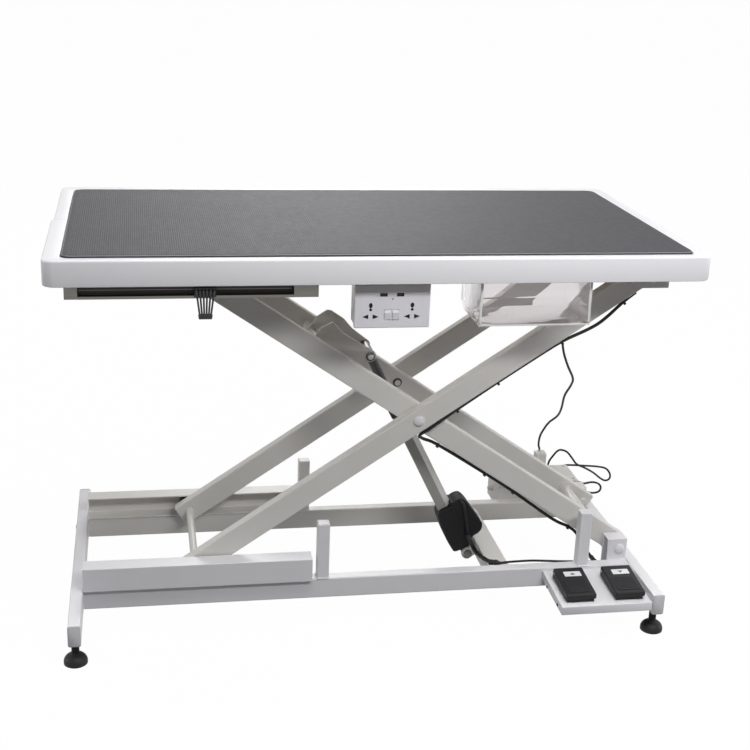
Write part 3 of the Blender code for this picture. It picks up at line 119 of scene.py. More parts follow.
def cornerOutline(length, width, radius, steps=8, centre=(0, 0)):
    points = []
    for signX, signY, start in ((1, 1, 0), (-1, 1, 90), (-1, -1, 180), (1, -1, 270)):
        for i in range(steps + 1):
            a = math.radians(start + 90 * i / steps)
            points.append((centre[0] + signX * (length / 2 - radius) + radius * math.cos(a),
                           centre[1] + signY * (width / 2 - radius) + radius * math.sin(a)))
    return points


# turned piece: profile of (radius, height) from end to end, about an axis through centre
def turnedShape(profile, axis="z", centre=(0, 0, 0), sides=40):
    shape, rings = bmesh.new(), []
    for radius, along in profile:
        flat = ringPoints(radius, sides) if radius > 1e-7 else [(0, 0)]
        rings.append([shape.verts.new(Vector(centre) + Vector(onAxis(axis, along, p))) for p in flat])
    for a, b in zip(rings, rings[1:]):
        for i in range(sides):
            j = (i + 1) % sides
            corners = (a[i % len(a)], a[j % len(a)], b[j % len(b)], b[i % len(b)])
            corners = list(dict.fromkeys(corners))
            if len(corners) > 2:
                shape.faces.new(corners)
    return shape


def placed(shape, matrix):
    shape.transform(matrix)
    return shape


def link(name, data):
    made = bpy.data.objects.new(name, data)
    bpy.context.scene.collection.objects.link(made)
    return made


def takeMesh(name, shape, finishes=()):
    bmesh.ops.recalc_face_normals(shape, faces=shape.faces)
    mesh = bpy.data.meshes.new(name)
    shape.to_mesh(mesh)
    shape.free()
    for finish in finishes:
        mesh.materials.append(finish)
    return mesh


def softenEdges(made, width, steps, angle):
    edge = made.modifiers.new("soft edges", "BEVEL")
    edge.width, edge.segments, edge.limit_method = width, steps, "ANGLE"
    edge.angle_limit = math.radians(angle)
    return edge


# a piece's body, and the CAD node it stands for, which is hidden
def attach(made, body, node):
    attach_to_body(made, body)
    if node:
        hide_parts(node)


# one finished piece: mesh, softened edges or sharp ones, finish and what it is attached to
def finishPiece(name, shape, finish, body, node=None, soft=0.0, steps=3, angle=30, even=False):
    finishes = finish if isinstance(finish, tuple) else (finish,)
    mesh = takeMesh(name, shape, finishes)
    mesh.shade_smooth()
    made = link(name, mesh)
    if soft:
        softenEdges(made, soft, steps, angle).harden_normals = True
    else:
        mesh.set_sharp_from_angle(angle=math.radians(angle))
    if even:
        made.modifiers.new("even shading", "WEIGHTED_NORMAL").keep_sharp = True
    attach(made, body, node)
    return made


# a merged copy of a CAD node's mesh, with its flat faces made whole again
def nodeCopy(name):
    shape = bmesh.new()
    shape.from_mesh(nodes[name].data)
    bmesh.ops.remove_doubles(shape, verts=shape.verts, dist=2e-6)
    bmesh.ops.dissolve_limit(shape, angle_limit=math.radians(1), verts=shape.verts, edges=shape.edges)
    return shape


# a piece that keeps the shape of its CAD solid
def copyPiece(name, node, finish, body, soft=0.0):
    finishPiece(name, nodeCopy(node), finish, body, node, soft, 2)


def plainMesh(made):
    bpy.context.view_layer.update()
    return bpy.data.meshes.new_from_object(made.evaluated_get(bpy.context.evaluated_depsgraph_get()))


# softens a shape's edges, then cuts shapes out of it; each cutter comes with the finish of its cut faces
def carve(shape, cutters, finishes, soft=0.0, steps=3, angle=30):
    drafts = []
    for index, part in [(0, shape)] + cutters:
        for face in part.faces:
            face.material_index = index
        drafts.append(link("draft", takeMesh("draft", part, finishes)))
    if soft:
        softenEdges(drafts[0], soft, steps, angle)
    for tool in drafts[1:]:
        hole = drafts[0].modifiers.new("cut", "BOOLEAN")
        hole.operation, hole.solver, hole.object, hole.use_self = "DIFFERENCE", "EXACT", tool, True
    baked = plainMesh(drafts[0])
    for draft in drafts:
        bpy.data.objects.remove(draft)
    result = bmesh.new()
    result.from_mesh(baked)
    bmesh.ops.remove_doubles(result, verts=result.verts, dist=2e-6)
    return result


# point between b and c on the smooth curve through four points
def curvePoint(a, b, c, d, t):
    square = (2 * a - 5 * b + 4 * c - d) * t * t
    return 0.5 * (2 * b + (c - a) * t + square + (3 * b - a - 3 * c + d) * t ** 3)


# closed smooth curve through the corners of an outline
def smoothOutline(corners, steps=5):
    points, line = [Vector(p) for p in corners], []
    for i in range(len(points)):
        four = [points[(i + k) % len(points)] for k in (-1, 0, 1, 2)]
        line += [tuple(curvePoint(*four, k / steps)) for k in range(steps)]
    return line


# smooth route through given points, read at even steps
def smoothRoute(route, spacing, steps=20):
    points = [Vector(p) for p in route]
    padded = [2 * points[0] - points[1]] + points + [2 * points[-1] - points[-2]]
    dense = []
    for four in zip(padded, padded[1:], padded[2:], padded[3:]):
        dense += [curvePoint(*four, k / steps) for k in range(steps)]
    dense.append(points[-1])
    walked = [0.0]
    for a, b in zip(dense, dense[1:]):
        walked.append(walked[-1] + (b - a).length)
    count = max(6, round(walked[-1] / spacing))
    even, k = [], 0
    for i in range(count + 1):
        goal = walked[-1] * i / count
        while k < len(dense) - 2 and walked[k + 1] < goal:
            k += 1
        even.append(dense[k].lerp(dense[k + 1], (goal - walked[k]) / (walked[k + 1] - walked[k])))
    return even, walked[-1]


# Geometry Nodes: one small shape set at every point of a marker mesh, turned by its "turn" attribute
def scatterTree():
    tree = bpy.data.node_groups.new("repeatAtMarkers", "GeometryNodeTree")
    for name, kind in (("Markers", "Geometry"), ("Shape", "Object"), ("Finish", "Material")):
        tree.interface.new_socket(name, in_out="INPUT", socket_type="NodeSocket" + kind)
    tree.interface.new_socket("Result", in_out="OUTPUT", socket_type="NodeSocketGeometry")
    given = addNode(tree, "NodeGroupInput").outputs
    info = addNode(tree, "GeometryNodeObjectInfo", Object=given["Shape"])
    turn = addNode(tree, "GeometryNodeInputNamedAttribute", {"data_type": "FLOAT_VECTOR"}, Name="turn")
    euler = addNode(tree, "FunctionNodeEulerToRotation", Euler=turn.outputs["Attribute"])
    copies = addNode(tree, "GeometryNodeInstanceOnPoints", Points=given["Markers"],
                     Instance=info.outputs["Geometry"], Rotation=euler.outputs[0])
    real = addNode(tree, "GeometryNodeRealizeInstances", Geometry=copies.outputs[0])
    painted = addNode(tree, "GeometryNodeSetMaterial", Geometry=real.outputs[0], Material=given["Finish"])
    addNode(tree, "NodeGroupOutput", Result=painted.outputs[0])
    return tree


repeatAtMarkers = scatterTree()


# places are (position, euler angles) pairs
def repeatShape(name, shape, places, finish, body):
    pattern = takeMesh(name + "Pattern", shape)
    pattern.shade_smooth()
    pattern.set_sharp_from_angle(angle=math.radians(35))
    single = link(name + "Pattern", pattern)
    markers = bpy.data.meshes.new(name + "Markers")
    markers.from_pydata([tuple(p) for p, _ in places], [], [])
    turn = markers.attributes.new("turn", "FLOAT_VECTOR", "POINT")
    for item, (_, angles) in zip(turn.data, places):
        item.vector = angles
    holder = link(name, markers)
    step = holder.modifiers.new("repeat", "NODES")
    step.node_group = repeatAtMarkers
    values = {"Shape": single, "Finish": finish}
    for item in repeatAtMarkers.interface.items_tree:
        if item.in_out == "INPUT" and item.name in values:
            step[item.identifier] = values[item.name]
    baked = plainMesh(holder)
    holder.modifiers.clear()
    holder.data = baked
    if not baked.materials:
        baked.materials.append(finish)
    bpy.data.objects.remove(single)
    attach(holder, body, None)


# materials


# one finish: noise of some scale and detail drives its colour, its roughness and its fine relief
def makeFinish(name, tone=None, gloss=None, relief=None, reliefKind="ShaderNodeTexNoise", stretch=None,
               **constants):
    made = bpy.data.materials.new(name)
    made.use_nodes = True
    tree = made.node_tree
    shader = tree.nodes["Principled BSDF"].inputs
    for key, value in constants.items():
        shader[key.replace("_", " ")].default_value = value
    place = addNode(tree, "ShaderNodeTexCoord").outputs["Object"]
    if stretch:
        place = addNode(tree, "ShaderNodeMapping", Vector=place, Scale=stretch).outputs[0]
    if tone:
        cloud = addNode(tree, "ShaderNodeTexNoise", Vector=place, Scale=tone[0], Detail=tone[1])
        mix = addNode(tree, "ShaderNodeMix", {"data_type": "RGBA"}, i0=cloud.outputs[0], i6=linear(tone[2]),
                      i7=linear(tone[3]))
        tree.links.new(mix.outputs[2], shader["Base Color"])
    if gloss:
        scuff = addNode(tree, "ShaderNodeTexNoise", Vector=place, Scale=gloss[0], Detail=gloss[1])
        rough = addNode(tree, "ShaderNodeMapRange", i0=scuff.outputs[0], i3=gloss[2], i4=gloss[3])
        tree.links.new(rough.outputs[0], shader["Roughness"])
    if relief:
        grain = addNode(tree, reliefKind, Vector=place, Scale=relief[0], Detail=relief[1])
        bump = addNode(tree, "ShaderNodeBump", Height=grain.outputs[0], Strength=relief[2],
                       Distance=relief[3])
        tree.links.new(bump.outputs[0], shader["Normal"])
    return made


# polyester powder coat on welded steel: 110 mm drifts of tone, slightly uneven gloss, 2 mm orange peel
def makePowderCoat(name, pale, deep):
    return makeFinish(name, (9.0, 3.0, pale, deep), (60.0, 2.0, 0.34, 0.5), (480.0, 2.0, 0.06, 0.0004),
                      IOR=1.5)


# nitrile rubber sheet: dark grey, dull, dusted with a paler bloom, 1.4 mm filler specks
def makeMatRubber(name, pale, deep):
    return makeFinish(name, (7.0, 6.0, deep, pale), (90.0, 3.0, 0.58, 0.74), (700.0, 2.0, 0.15, 0.0004),
                      IOR=1.42, Sheen_Weight=0.03, Sheen_Roughness=0.5, Sheen_Tint=linear("#C9C7CE"))


# injection-moulded plastic: spark-eroded grain and a little scuffing that shows in the gloss
def makeMoulded(name, pale, deep, roughness, grain=1100.0, depth=0.12, ior=1.5):
    return makeFinish(name, (22.0, 4.0, pale, deep), (130.0, 3.0, roughness - 0.08, roughness + 0.1),
                      (grain, 2.0, depth, 0.0003), IOR=ior)


# drawn or extruded metal: fine lines along the length, drawn at 1 mm so they show
def makeDrawnMetal(name, pale, deep, roughness, stretch):
    return makeFinish(name, (1.0, 3.0, pale, deep), (1.0, 3.0, roughness - 0.07, roughness + 0.12),
                      (1.0, 3.0, 0.08, 0.0002), stretch=stretch, Metallic=1.0)


powderCoat = makePowderCoat("white powder coat", "#EDECEF", "#E5E4E8")
# a darker, warmer copy of the white powder coat: painted shade on the rear and under-table parts
shadeDarkenedCoat = makePowderCoat("powder coat darkened for painted shade", "#E7E5E1", "#DDDBD6")
# moulded polyurethane with 1.1 mm skin grain
edging = makeFinish("moulded white polyurethane", (5.0, 4.0, "#F3F2F5", "#EBEAEE"), None,
                    (900.0, 0.0, 0.05, 0.0003), "ShaderNodeTexVoronoi", Roughness=0.45, IOR=1.48)
matRubber = makeMatRubber("ribbed grey rubber", "#353438", "#2C2B2F")
# darker copy of the mat rubber: painted shade on the mat's steep sides
matShadedSide = makeMatRubber("grey rubber darkened for painted shade on the sides", "#302F33", "#252428")
# lighter copy of the mat rubber: a painted highlight on the mat's rounded edge
matEdgeHighlight = makeMatRubber("grey rubber lightened for a painted edge highlight", "#8E8D92", "#807F84")
socketPlastic = makeMoulded("white urea socket plastic", "#F6F5FA", "#EFEEF4", 0.3, 1500.0, 0.04)
blackPlastic = makeMoulded("black grained ABS", "#121115", "#0C0B0E", 0.46, 700.0, 0.22, 1.4)
housingPlastic = makeMoulded("dull black glass-filled nylon", "#100F13", "#0A090C", 0.64, 700.0, 0.22, 1.34)
pedalPad = makeMoulded("black pedal pad", "#1B1A20", "#141318", 0.56, 450.0, 0.35, 1.4)
blackRubber = makeMoulded("black rubber", "#0F0F10", "#09090A", 0.58, 600.0, 0.2, 1.4)
cordSheath = makeMoulded("black cord sheath", "#0B0B0C", "#070708", 0.5, 900.0, 0.1, 1.38)
greyPlastic = makeMoulded("light grey ABS", "#DDDBD8", "#D2D0CD", 0.42, 800.0, 0.15)
plugPlastic = makeMoulded("white polyethylene tube plug", "#D4D3D7", "#CBCACE", 0.5, 600.0, 0.12)
holeBlack = makeMoulded("dark socket inside", "#121114", "#0B0B0D", 0.6, 900.0, 0.1)
labelPaper = makeMoulded("white label film", "#F0F0F2", "#E8E8EB", 0.35, 300.0, 0.02)
labelInk = makeMoulded("grey label ink", "#5B5A60", "#504F55", 0.5, 300.0, 0.02)
lampLens = makeMoulded("milky lamp lens", "#BDBCC2", "#ADACB3", 0.2, 300.0, 0.02)
greyEnamel = makeMoulded("grey anodised tube", "#A9A8A5", "#9B9A96", 0.4, 500.0, 0.05)
# lighter copy of the tube's grey: a painted highlight on its lit flat
litFlatHighlight = makeMoulded("grey tube lightened as a painted highlight on its lit flat", "#D6D5D2", "#CBCAC7", 0.36, 500.0, 0.05)
# dark painted shade inside the hook rail's slot and the guide tube's bore
slotShade = makeMoulded("dark painted shade for slot and bore", "#3E3C37", "#302E2A", 0.5, 500.0, 0.08)
frostedEdge = makeMoulded("sawn acrylic edge", "#F5F3F4", "#ECEAEB", 0.38, 500.0, 0.2)
dullAluminium = makeDrawnMetal("extruded aluminium", "#7B7A75", "#6A6964", 0.42, (3.0, 900.0, 900.0))
zincSteel = makeDrawnMetal("zinc-plated steel", "#B9B8B5", "#A3A29F", 0.34, (700.0, 60.0, 700.0))
darkSteel = makeDrawnMetal("phosphated steel", "#6B6A68", "#575654", 0.45, (600.0, 60.0, 600.0))
blackSteel = makeMoulded("black-oxide steel", "#26262A", "#1B1B1E", 0.33, 900.0, 0.08)
# cast acrylic sheet: a faint tint, a glossy skin and some waviness; it bends light only a little
acrylic = makeFinish("clear cast acrylic", relief=(26.0, 1.0, 0.3, 0.002), Base_Color=linear("#F2EFF0"),
                     Roughness=0.05, IOR=1.07, Transmission_Weight=0.95, Coat_Weight=0.85, Coat_IOR=1.5,
                     Coat_Roughness=0.04)
# birch board under the mat, with its grain along the table
board = makeFinish("birch board", (6.0, 6.0, "#C9AE86", "#A98A5F"), None, (6.0, 6.0, 0.15, 0.0004),
                   stretch=(1.4, 26.0, 26.0), Roughness=0.6, IOR=1.5)
nodeFinish = {
    # the rear table rail's darker coat is painted shade
    "table_rail_front": powderCoat, "table_rail_rear": shadeDarkenedCoat, "table_board": board,
    "socket_box": socketPlastic, "tray_hanger": powderCoat,
}
for nodeName, finish in nodeFinish.items():
    nodes[nodeName].data.materials.clear()
    nodes[nodeName].data.materials.append(finish)
print("materials made:", len(bpy.data.materials))

# studio: white floor and world, soft lamps, camera at the photograph's view

studio = {
    "floorSize": 60.0, "floorDrop": 0.0004, "floorWhite": 0.92, "floorShine": 1.07, "floorTone": "#6A6A6C",
    "skyTop": 0.38, "skyLow": 0.05,
    "lamps": (("topLamp", (0.3, -1.8, 7.0), (0.0, 0.0, 0.4), (3.0, 3.0), 185.0),
              ("frontLamp", (0.55, -1.65, 1.72), (0.45, 0.0, 0.6), (1.4, 0.3), 18.5),
              ("leftLamp", (-3.2, 0.2, 0.9), (-0.5, 0.0, 0.5), (1.0, 1.0), 20.0),
              ("rightLamp", (3.2, -0.1, 1.0), (0.5, 0.0, 0.5), (1.0, 1.0), 20.0),
              ("rearLamp", (0.4, 4.0, 2.2), (0.0, 0.0, 0.5), (1.5, 1.5), 45.0)),
}
cameraSpec = {"place": (-0.4566, -2.6404, 1.4003), "turnZ": -0.1847, "tiltX": -0.3294, "rollY": -0.0383,
              "lens": 63.15, "sensor": 36.0, "farthest": 100.0}


# 1 for rays that look at the background: from the camera, off gloss or through glass
def backgroundRays(tree):
    rays = addNode(tree, "ShaderNodeLightPath").outputs
    seen = rays["Is Camera Ray"]
    for kind in ("Is Glossy Ray", "Is Transmission Ray"):
        seen = addNode(tree, "ShaderNodeMath", {"operation": "MAXIMUM"}, i0=seen, i1=rays[kind]).outputs[0]
    return seen


def makeFloor():
    half, drop = studio["floorSize"] / 2, -studio["floorDrop"]
    mesh = bpy.data.meshes.new("studioFloor")
    corners = [(-half, -half, drop), (half, -half, drop), (half, half, drop), (-half, half, drop)]
    mesh.from_pydata(corners, [], [(0, 1, 2, 3)])
    paint = bpy.data.materials.new("white studio floor")
    paint.use_nodes = True
    tree = paint.node_tree
    tree.nodes.clear()
    share = addNode(tree, "ShaderNodeMath", {"operation": "MULTIPLY"}, i0=backgroundRays(tree),
                    i1=studio["floorWhite"])
    matt = addNode(tree, "ShaderNodeBsdfDiffuse", Color=linear(studio["floorTone"]))
    white = addNode(tree, "ShaderNodeEmission", Color=(1, 1, 1, 1), Strength=studio["floorShine"])
    both = addNode(tree, "ShaderNodeMixShader", i0=share.outputs[0], i1=matt.outputs[0], i2=white.outputs[0])
    addNode(tree, "ShaderNodeOutputMaterial", Surface=both.outputs[0])
    mesh.materials.append(paint)
    link("studioFloor", mesh)


def makeStudio():
    scene = bpy.context.scene
    scene.view_settings.view_transform = "Standard"
    makeFloor()
    scene.world = bpy.data.worlds.new("white studio")
    scene.world.use_nodes = True
    tree = scene.world.node_tree
    tree.nodes.clear()
    look = addNode(tree, "ShaderNodeTexCoord").outputs["Generated"]
    up = addNode(tree, "ShaderNodeSeparateXYZ", i0=look).outputs[2]
    lit = addNode(tree, "ShaderNodeMapRange", i0=up, i3=studio["skyLow"], i4=studio["skyTop"])
    level = addNode(tree, "ShaderNodeMix", {"data_type": "FLOAT"}, i0=backgroundRays(tree), i2=lit.outputs[0],
                    i3=1.0)
    sky = addNode(tree, "ShaderNodeBackground", Color=(1, 1, 1, 1), Strength=level.outputs[0])
    addNode(tree, "ShaderNodeOutputWorld", Surface=sky.outputs[0])

    for name, place, aim, size, power in studio["lamps"]:
        lamp = bpy.data.lights.new(name, "AREA")
        lamp.shape, lamp.size, lamp.size_y, lamp.energy = "ELLIPSE", size[0], size[1], power
        made = link(name, lamp)
        made.location = place
        made.rotation_euler = (Vector(aim) - Vector(place)).to_track_quat("-Z", "Y").to_euler()

    spec = cameraSpec
    camera = bpy.data.cameras.new("photoCamera")
    camera.lens, camera.sensor_width, camera.clip_end = spec["lens"], spec["sensor"], spec["farthest"]
    turn = Matrix.Translation(spec["place"])
    for angle, axis in ((spec["turnZ"], "Z"), (spec["tiltX"], "X"), (spec["rollY"], "Y"), (math.pi / 2, "X")):
        turn = turn @ Matrix.Rotation(angle, 4, axis)
    scene.camera = link("photoCamera", camera)
    scene.camera.matrix_world = turn


makeStudio()
print("studio made")

# places shared by the pieces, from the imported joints

basePivot = Vector(joints["lift"]["pos_m"])
centrePivot = Vector(joints["centre_fold"]["pos_m"])
tablePivot = Vector(joints["table_level"]["pos_m"])
armAngle = math.atan2(tablePivot.z - centrePivot.z, tablePivot.x - centrePivot.x)
armHalf = (tablePivot - centrePivot).length
innerFrame = Matrix.Translation(basePivot) @ Matrix.Rotation(armAngle, 4, "Y")
outerFrame = Matrix.Translation(centrePivot) @ Matrix.Rotation(-armAngle, 4, "Y")
clevisPivot = Vector(joints["actuator_swing"]["pos_m"])
pushWay = Vector(joints["rod_extend"]["axis"]).normalized()
actuatorFrame = Matrix.Translation(clevisPivot) @ Matrix.Rotation(math.atan2(pushWay.x, pushWay.z), 4, "Y")
sides = {"front": -1, "rear": 1}


# a spot on each side, facing out, or in with turn = 1
def bothSides(place, y, turn=-1):
    return [((place.x, sign * y, place.z), (sign * turn * math.pi / 2, 0, 0)) for sign in sides.values()]


# cords first

cordSpec = {"harness": 0.0035, "cord": 0.0025, "boot": 0.0058, "bootStep": 0.004, "armUnder": -0.0278,
            "outerY": -0.1375, "innerY": -0.106, "hangX": 0.337, "hangDrop": 0.0025, "glandReach": 0.0123,
            "straight": 0.0088}
# the control box's glands: which way each faces, and where
glandSpec = {"loopOut": ("y", (0.546, 0.2803, 0.112)), "loopBack": ("y", (0.572, 0.2803, 0.112)),
             "smallOut": ("x", (0.5862, 0.19, 0.1225)), "smallBack": ("x", (0.5862, 0.19, 0.1025)),
             "hanging": ("z", (0.484, 0.205, 0.1355)), "mains": ("left", (0.384, 0.2313, 0.10175))}


def tubeMesh(name, points, radius, swell=None):
    curve = bpy.data.curves.new(name + "Line", "CURVE")
    curve.dimensions = "3D"
    curve.bevel_depth, curve.bevel_resolution, curve.use_fill_caps = radius, 4, True
    spline = curve.splines.new("POLY")
    spline.points.add(len(points) - 1)
    for i, (point, place) in enumerate(zip(spline.points, points)):
        point.co = (*place, 1)
        point.radius = swell(i / (len(points) - 1)) if swell else 1.0
    holder = link(name + "Line", curve)
    mesh = plainMesh(holder)
    mesh.name = name
    bpy.data.objects.remove(holder)
    mesh.materials.clear()
    mesh.materials.append(cordSheath)
    mesh.shade_smooth()
    mesh.set_sharp_from_angle(angle=math.radians(50))
    return mesh


def makeCord(name, route, radius, *replaced):
    points, length = smoothRoute(route, 1.6 * radius)
    made = link(name, tubeMesh(name, points, radius))
    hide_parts(*replaced)
    return made, points, length


# a cord on the base, or one left in world space when it runs over two bodies
def layCord(name, node, route, bodies=()):
    made, path, length = makeCord(name, route, cordSpec["cord"], node)
    if bodies:
        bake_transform(made)
    else:
        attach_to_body(made, "base")


# the end of a gland and a spot straight on from it
def glandStub(name):
    axis, spot = glandSpec[name]
    reach = cordSpec["glandReach"]
    way = Vector(onAxis(axis, 1, (0, 0)))
    return [Vector(spot) + along * way for along in (reach, reach + cordSpec["straight"])]


# one harness runs under the outer arm, round the centre bolt and on under the inner arm
def makeHarness():
    under, outerY, innerY = cordSpec["armUnder"], cordSpec["outerY"], cordSpec["innerY"]
    along = mm((522, 0), (490, -3), (422, -13.5), (350, -4), (322, -1.5), (274, -0.7), (180, -0.7),
               (77.5, -2.5))
    outerRun = [outerFrame @ Vector((x, outerY, under + drop)) for x, drop in along]
    bend = mm((-523.1, 0, -2.3), (-526.5, 3, -14), (-528.5, 12, -30.5), (-513, 23, -34.5))
    bend = [(x, outerY + inward, z) for x, inward, z in bend]
    along = mm((-478, -3), (-380, -1), (-275, -1), (-150, -6.5), (-105, -2), (-79, -4.5), (-50, -18),
               (-22, -29), (-4, -35))
    innerRun = [innerFrame @ Vector(p) for p in bend + [(x, innerY, under + drop) for x, drop in along]]
    harness, path, _ = makeCord("wiringHarness", outerRun + innerRun, cordSpec["harness"], "harness_outer",
                                "harness_inner")
    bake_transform(harness)
    connector = turnedShape(mm((0, -10), (3.8, -10), (5.2, -8.5), (5.2, 5), (6, 5.5), (6, 13.5), (5.2, 14.5),
                               (0, 14.5)), sides=4)
    run = (path[-1] - path[-4]).normalized()
    turn = Matrix.Translation(path[-1]) @ run.to_track_quat("Z", "Y").to_matrix().to_4x4()
    finishPiece("harnessConnector", placed(connector, turn), blackPlastic, "inner_arms", soft=0.0007)


# the lead leaves the motor in a thick boot and goes on thin from a moulded connector
def makeLead():
    route = [basePivot + Vector(p) for p in mm(
        (-311.1, -25.4, -15.5), (-311.1, -33.5, -15.5), (-306.5, -42, -25.5), (-301.6, -60, -35.3),
        (-299.8, -82, -35.3), (-294.8, -115, -31), (-283.8, -137, -29.9), (-266.8, -142.5, -29.5),
        (-243.8, -141, -29.3), (-218.3, -139.8, -29.3), (-188.8, -140.2, -29.3), (-153.8, -145, -29.5),
        (-127.2, -148.4, -30), (-78.8, -151.5, -31.3), (-26.4, -153.5, -32.8))]
    lead, path, length = makeCord("actuatorLead", route, cordSpec["cord"], "actuator_lead")
    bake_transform(lead)
    bootRun, _ = smoothRoute(route[:7], cordSpec["bootStep"])
    boot = link("leadBoot", tubeMesh("leadBoot", bootRun, cordSpec["boot"],
                                     lambda t: 1.0 - 0.2 * t + 0.05 * math.sin(40 * t)))
    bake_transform(boot)
    connector = turnedShape(mm((0, -11), (4.8, -11), (6.4, -9.5), (6.4, -2), (5.4, -1.2), (5.4, 0.4),
                               (6.6, 1), (6.6, 7.5), (5, 9), (4, 11), (3, 16), (0, 16)), "x", sides=20)
    run = (route[7] - route[6]).normalized().to_track_quat("X", "Z").to_matrix().to_4x4()
    turn = Matrix.Translation(route[6].lerp(route[7], 0.35)) @ run
    plug = finishPiece("leadConnector", placed(connector, turn), blackPlastic, "base", angle=35)


def makeCords():
    makeHarness()
    hang = cordSpec["armUnder"] - cordSpec["hangDrop"] - cordSpec["harness"] - cordSpec["cord"]
    tie = outerFrame @ Vector((cordSpec["hangX"], cordSpec["outerY"], hang))
    join, step = Vector((0.4689, 0.1, 0.3183)), 0.012 * Vector((-0.103, 0.712, -0.694))
    layCord("hangingCordUpper", "hanging_cord_upper", [tie] + mm(
        (411, -137, 567), (424, -130, 538), (445, -108, 503), (452.5, -80, 477.2), (454.2, -40, 438.6),
        (466.8, 10, 390.4), (476, 58, 354)) + [join - step, join], ("outer_arms", "inner_arms"))
    layCord("hangingCordLower", "hanging_cord_lower", [join, join + step] + mm(
        (466.1, 140, 274.1), (473.1, 170, 238.9), (482.9, 190, 216.5), (485, 201.5, 195), (484.5, 204.5, 172))
        + glandStub("hanging")[::-1], ("inner_arms", "base"))
    layCord("slackLoop", "slack_loop", glandStub("loopOut") + mm(
        (546.2, 305, 117), (546.7, 304, 127), (548, 297.5, 141), (552.5, 289, 156), (562, 287, 169.5),
        (572, 287, 172.7), (588.1, 287, 166.3), (602.6, 287, 149.5), (616, 287, 132.8), (639.5, 287, 120.9),
        (661.9, 287, 107.7), (682, 287, 91.8), (696, 287.5, 84.3), (707.7, 289, 88), (708.5, 291, 101),
        (697, 293.5, 114.8), (675, 295.5, 120), (640, 296, 123.5), (613.4, 297, 125.5), (594, 301, 124.5),
        (580, 305.5, 119), (573.5, 306, 114)) + glandStub("loopBack")[::-1])
    layCord("smallLoop", "small_loop", glandStub("smallOut") + mm(
        (624.3, 188, 125.8), (640.2, 188, 121.2), (647.6, 188, 111.5), (644.7, 188, 101.2),
        (634.8, 188, 97.2), (622, 188, 97.5)) + glandStub("smallBack")[::-1])
    makeLead()


makeCords()
print("cords laid")

# table top

tableSpec = {"length": 1.25, "width": 0.678, "corner": 0.022, "top": 0.82354, "height": 0.0484, "wall": 0.006,
             "edgeRound": 0.0036, "seamGap": 0.0007, "frontEndStep": 0.0045, "matGap": 0.0015,
             "matCorner": 0.018}
ribSpec = {"pitch": 0.004, "width": 0.0022, "rise": 0.0001, "root": 0.0002, "endInset": 0.011,
           "sideInset": 0.007}


def halfOutline(reachX, reachY, radius, leftPush=0.0):
    line = [p for p in cornerOutline(2 * reachX, 2 * reachY, radius) if p[1] > 0]
    ends = [tableSpec["seamGap"], 0.03, 0.08, 0.15]
    line = [(reachX, y) for y in ends] + line + [(-reachX, y) for y in reversed(ends)]
    return [(x - leftPush if x < 0 else x, y) for x, y in line]


# each rim half: a rounded section swept along half of the edge; the front one is longer at its left end
def makeRim(side, sign):
    spec = tableSpec
    matLow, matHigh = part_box("mat")
    reach = (-matLow.y if sign < 0 else matHigh.y) + spec["matGap"]
    outer = halfOutline(spec["length"] / 2, spec["width"] / 2, spec["corner"],
                        spec["frontEndStep"] if sign < 0 else 0.0)
    inner = halfOutline(matHigh.x + spec["matGap"], reach, spec["matCorner"])
    top, low, wall, soft = spec["top"], spec["top"] - spec["height"], spec["wall"], spec["edgeRound"]
    section = [(wall, low), (0.0025, low), (0.0007, low + 0.0007), (0.0, low + 0.0025), (0.0, top - soft)]
    for k in range(1, 7):
        a = math.radians(15 * k)
        section.append((soft * (1 - math.cos(a)), top - soft + soft * math.sin(a)))
    shape, rings = bmesh.new(), []
    for o, i in zip(outer, inner):
        o, i = Vector(o), Vector(i)
        lip = (i - o).length
        profile = section + [(lip - 0.0022, top), (lip - 0.0007, top - 0.0006), (lip, top - 0.0022),
                             (lip, top - wall), (wall, top - wall)]
        spots = [(o.lerp(i, inward / lip), z) for inward, z in profile]
        rings.append([shape.verts.new((p.x, sign * p.y, z)) for p, z in spots])
    joinRings(shape, rings)
    finishPiece("rim" + side.title(), shape, edging, "table", "rim_" + side, angle=40)


# the mat: a rubber sheet with painted shade on its steep sides, a painted highlight on its rounded edge, and
# fine ribs from front to back
def makeMat():
    low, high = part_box("mat")
    middle, size = (low + high) / 2, high - low
    outline = cornerOutline(size.x, size.y, tableSpec["matCorner"])
    shape, rings = bmesh.new(), []
    for inset, drop in mm((0, 1000 * size.z), (0, 2), (0.4, 1), (1.1, 0.3), (2.2, 0), (12, 0)):
        kx, ky = 1 - 2 * inset / size.x, 1 - 2 * inset / size.y
        rings.append([shape.verts.new((x * kx, middle.y + y * ky, high.z - drop)) for x, y in outline])
    joinRings(shape, rings)
    # steep side faces take the painted shade, the rounded edge the painted highlight, the top the plain
    # rubber
    for face in shape.faces:
        face.normal_update()
        steep = abs(face.normal.z)
        face.material_index = 1 if steep < 0.55 else 2 if steep < 0.98 else 0
    finishPiece("rubberMat", shape, (matRubber, matShadedSide, matEdgeHighlight), "table", "mat", angle=50)

    half, rise, root = ribSpec["width"] / 2, ribSpec["rise"], -ribSpec["root"]
    outline = [(-half, root), (half, root), (half, 0), (0.6 * half, rise), (-0.6 * half, rise), (-half, 0)]
    rib = prism(outline, "y", low.y + ribSpec["sideInset"], high.y - ribSpec["sideInset"])
    reach = high.x - ribSpec["endInset"]
    count = int(2 * reach / ribSpec["pitch"])
    places = [((-reach + 2 * reach * i / count, 0, high.z), (0, 0, 0)) for i in range(count + 1)]
    repeatShape("matRibs", rib, places, matRubber, "table")


for side, sign in sides.items():
    makeRim(side, sign)
makeMat()
print("table top made")

# base frame

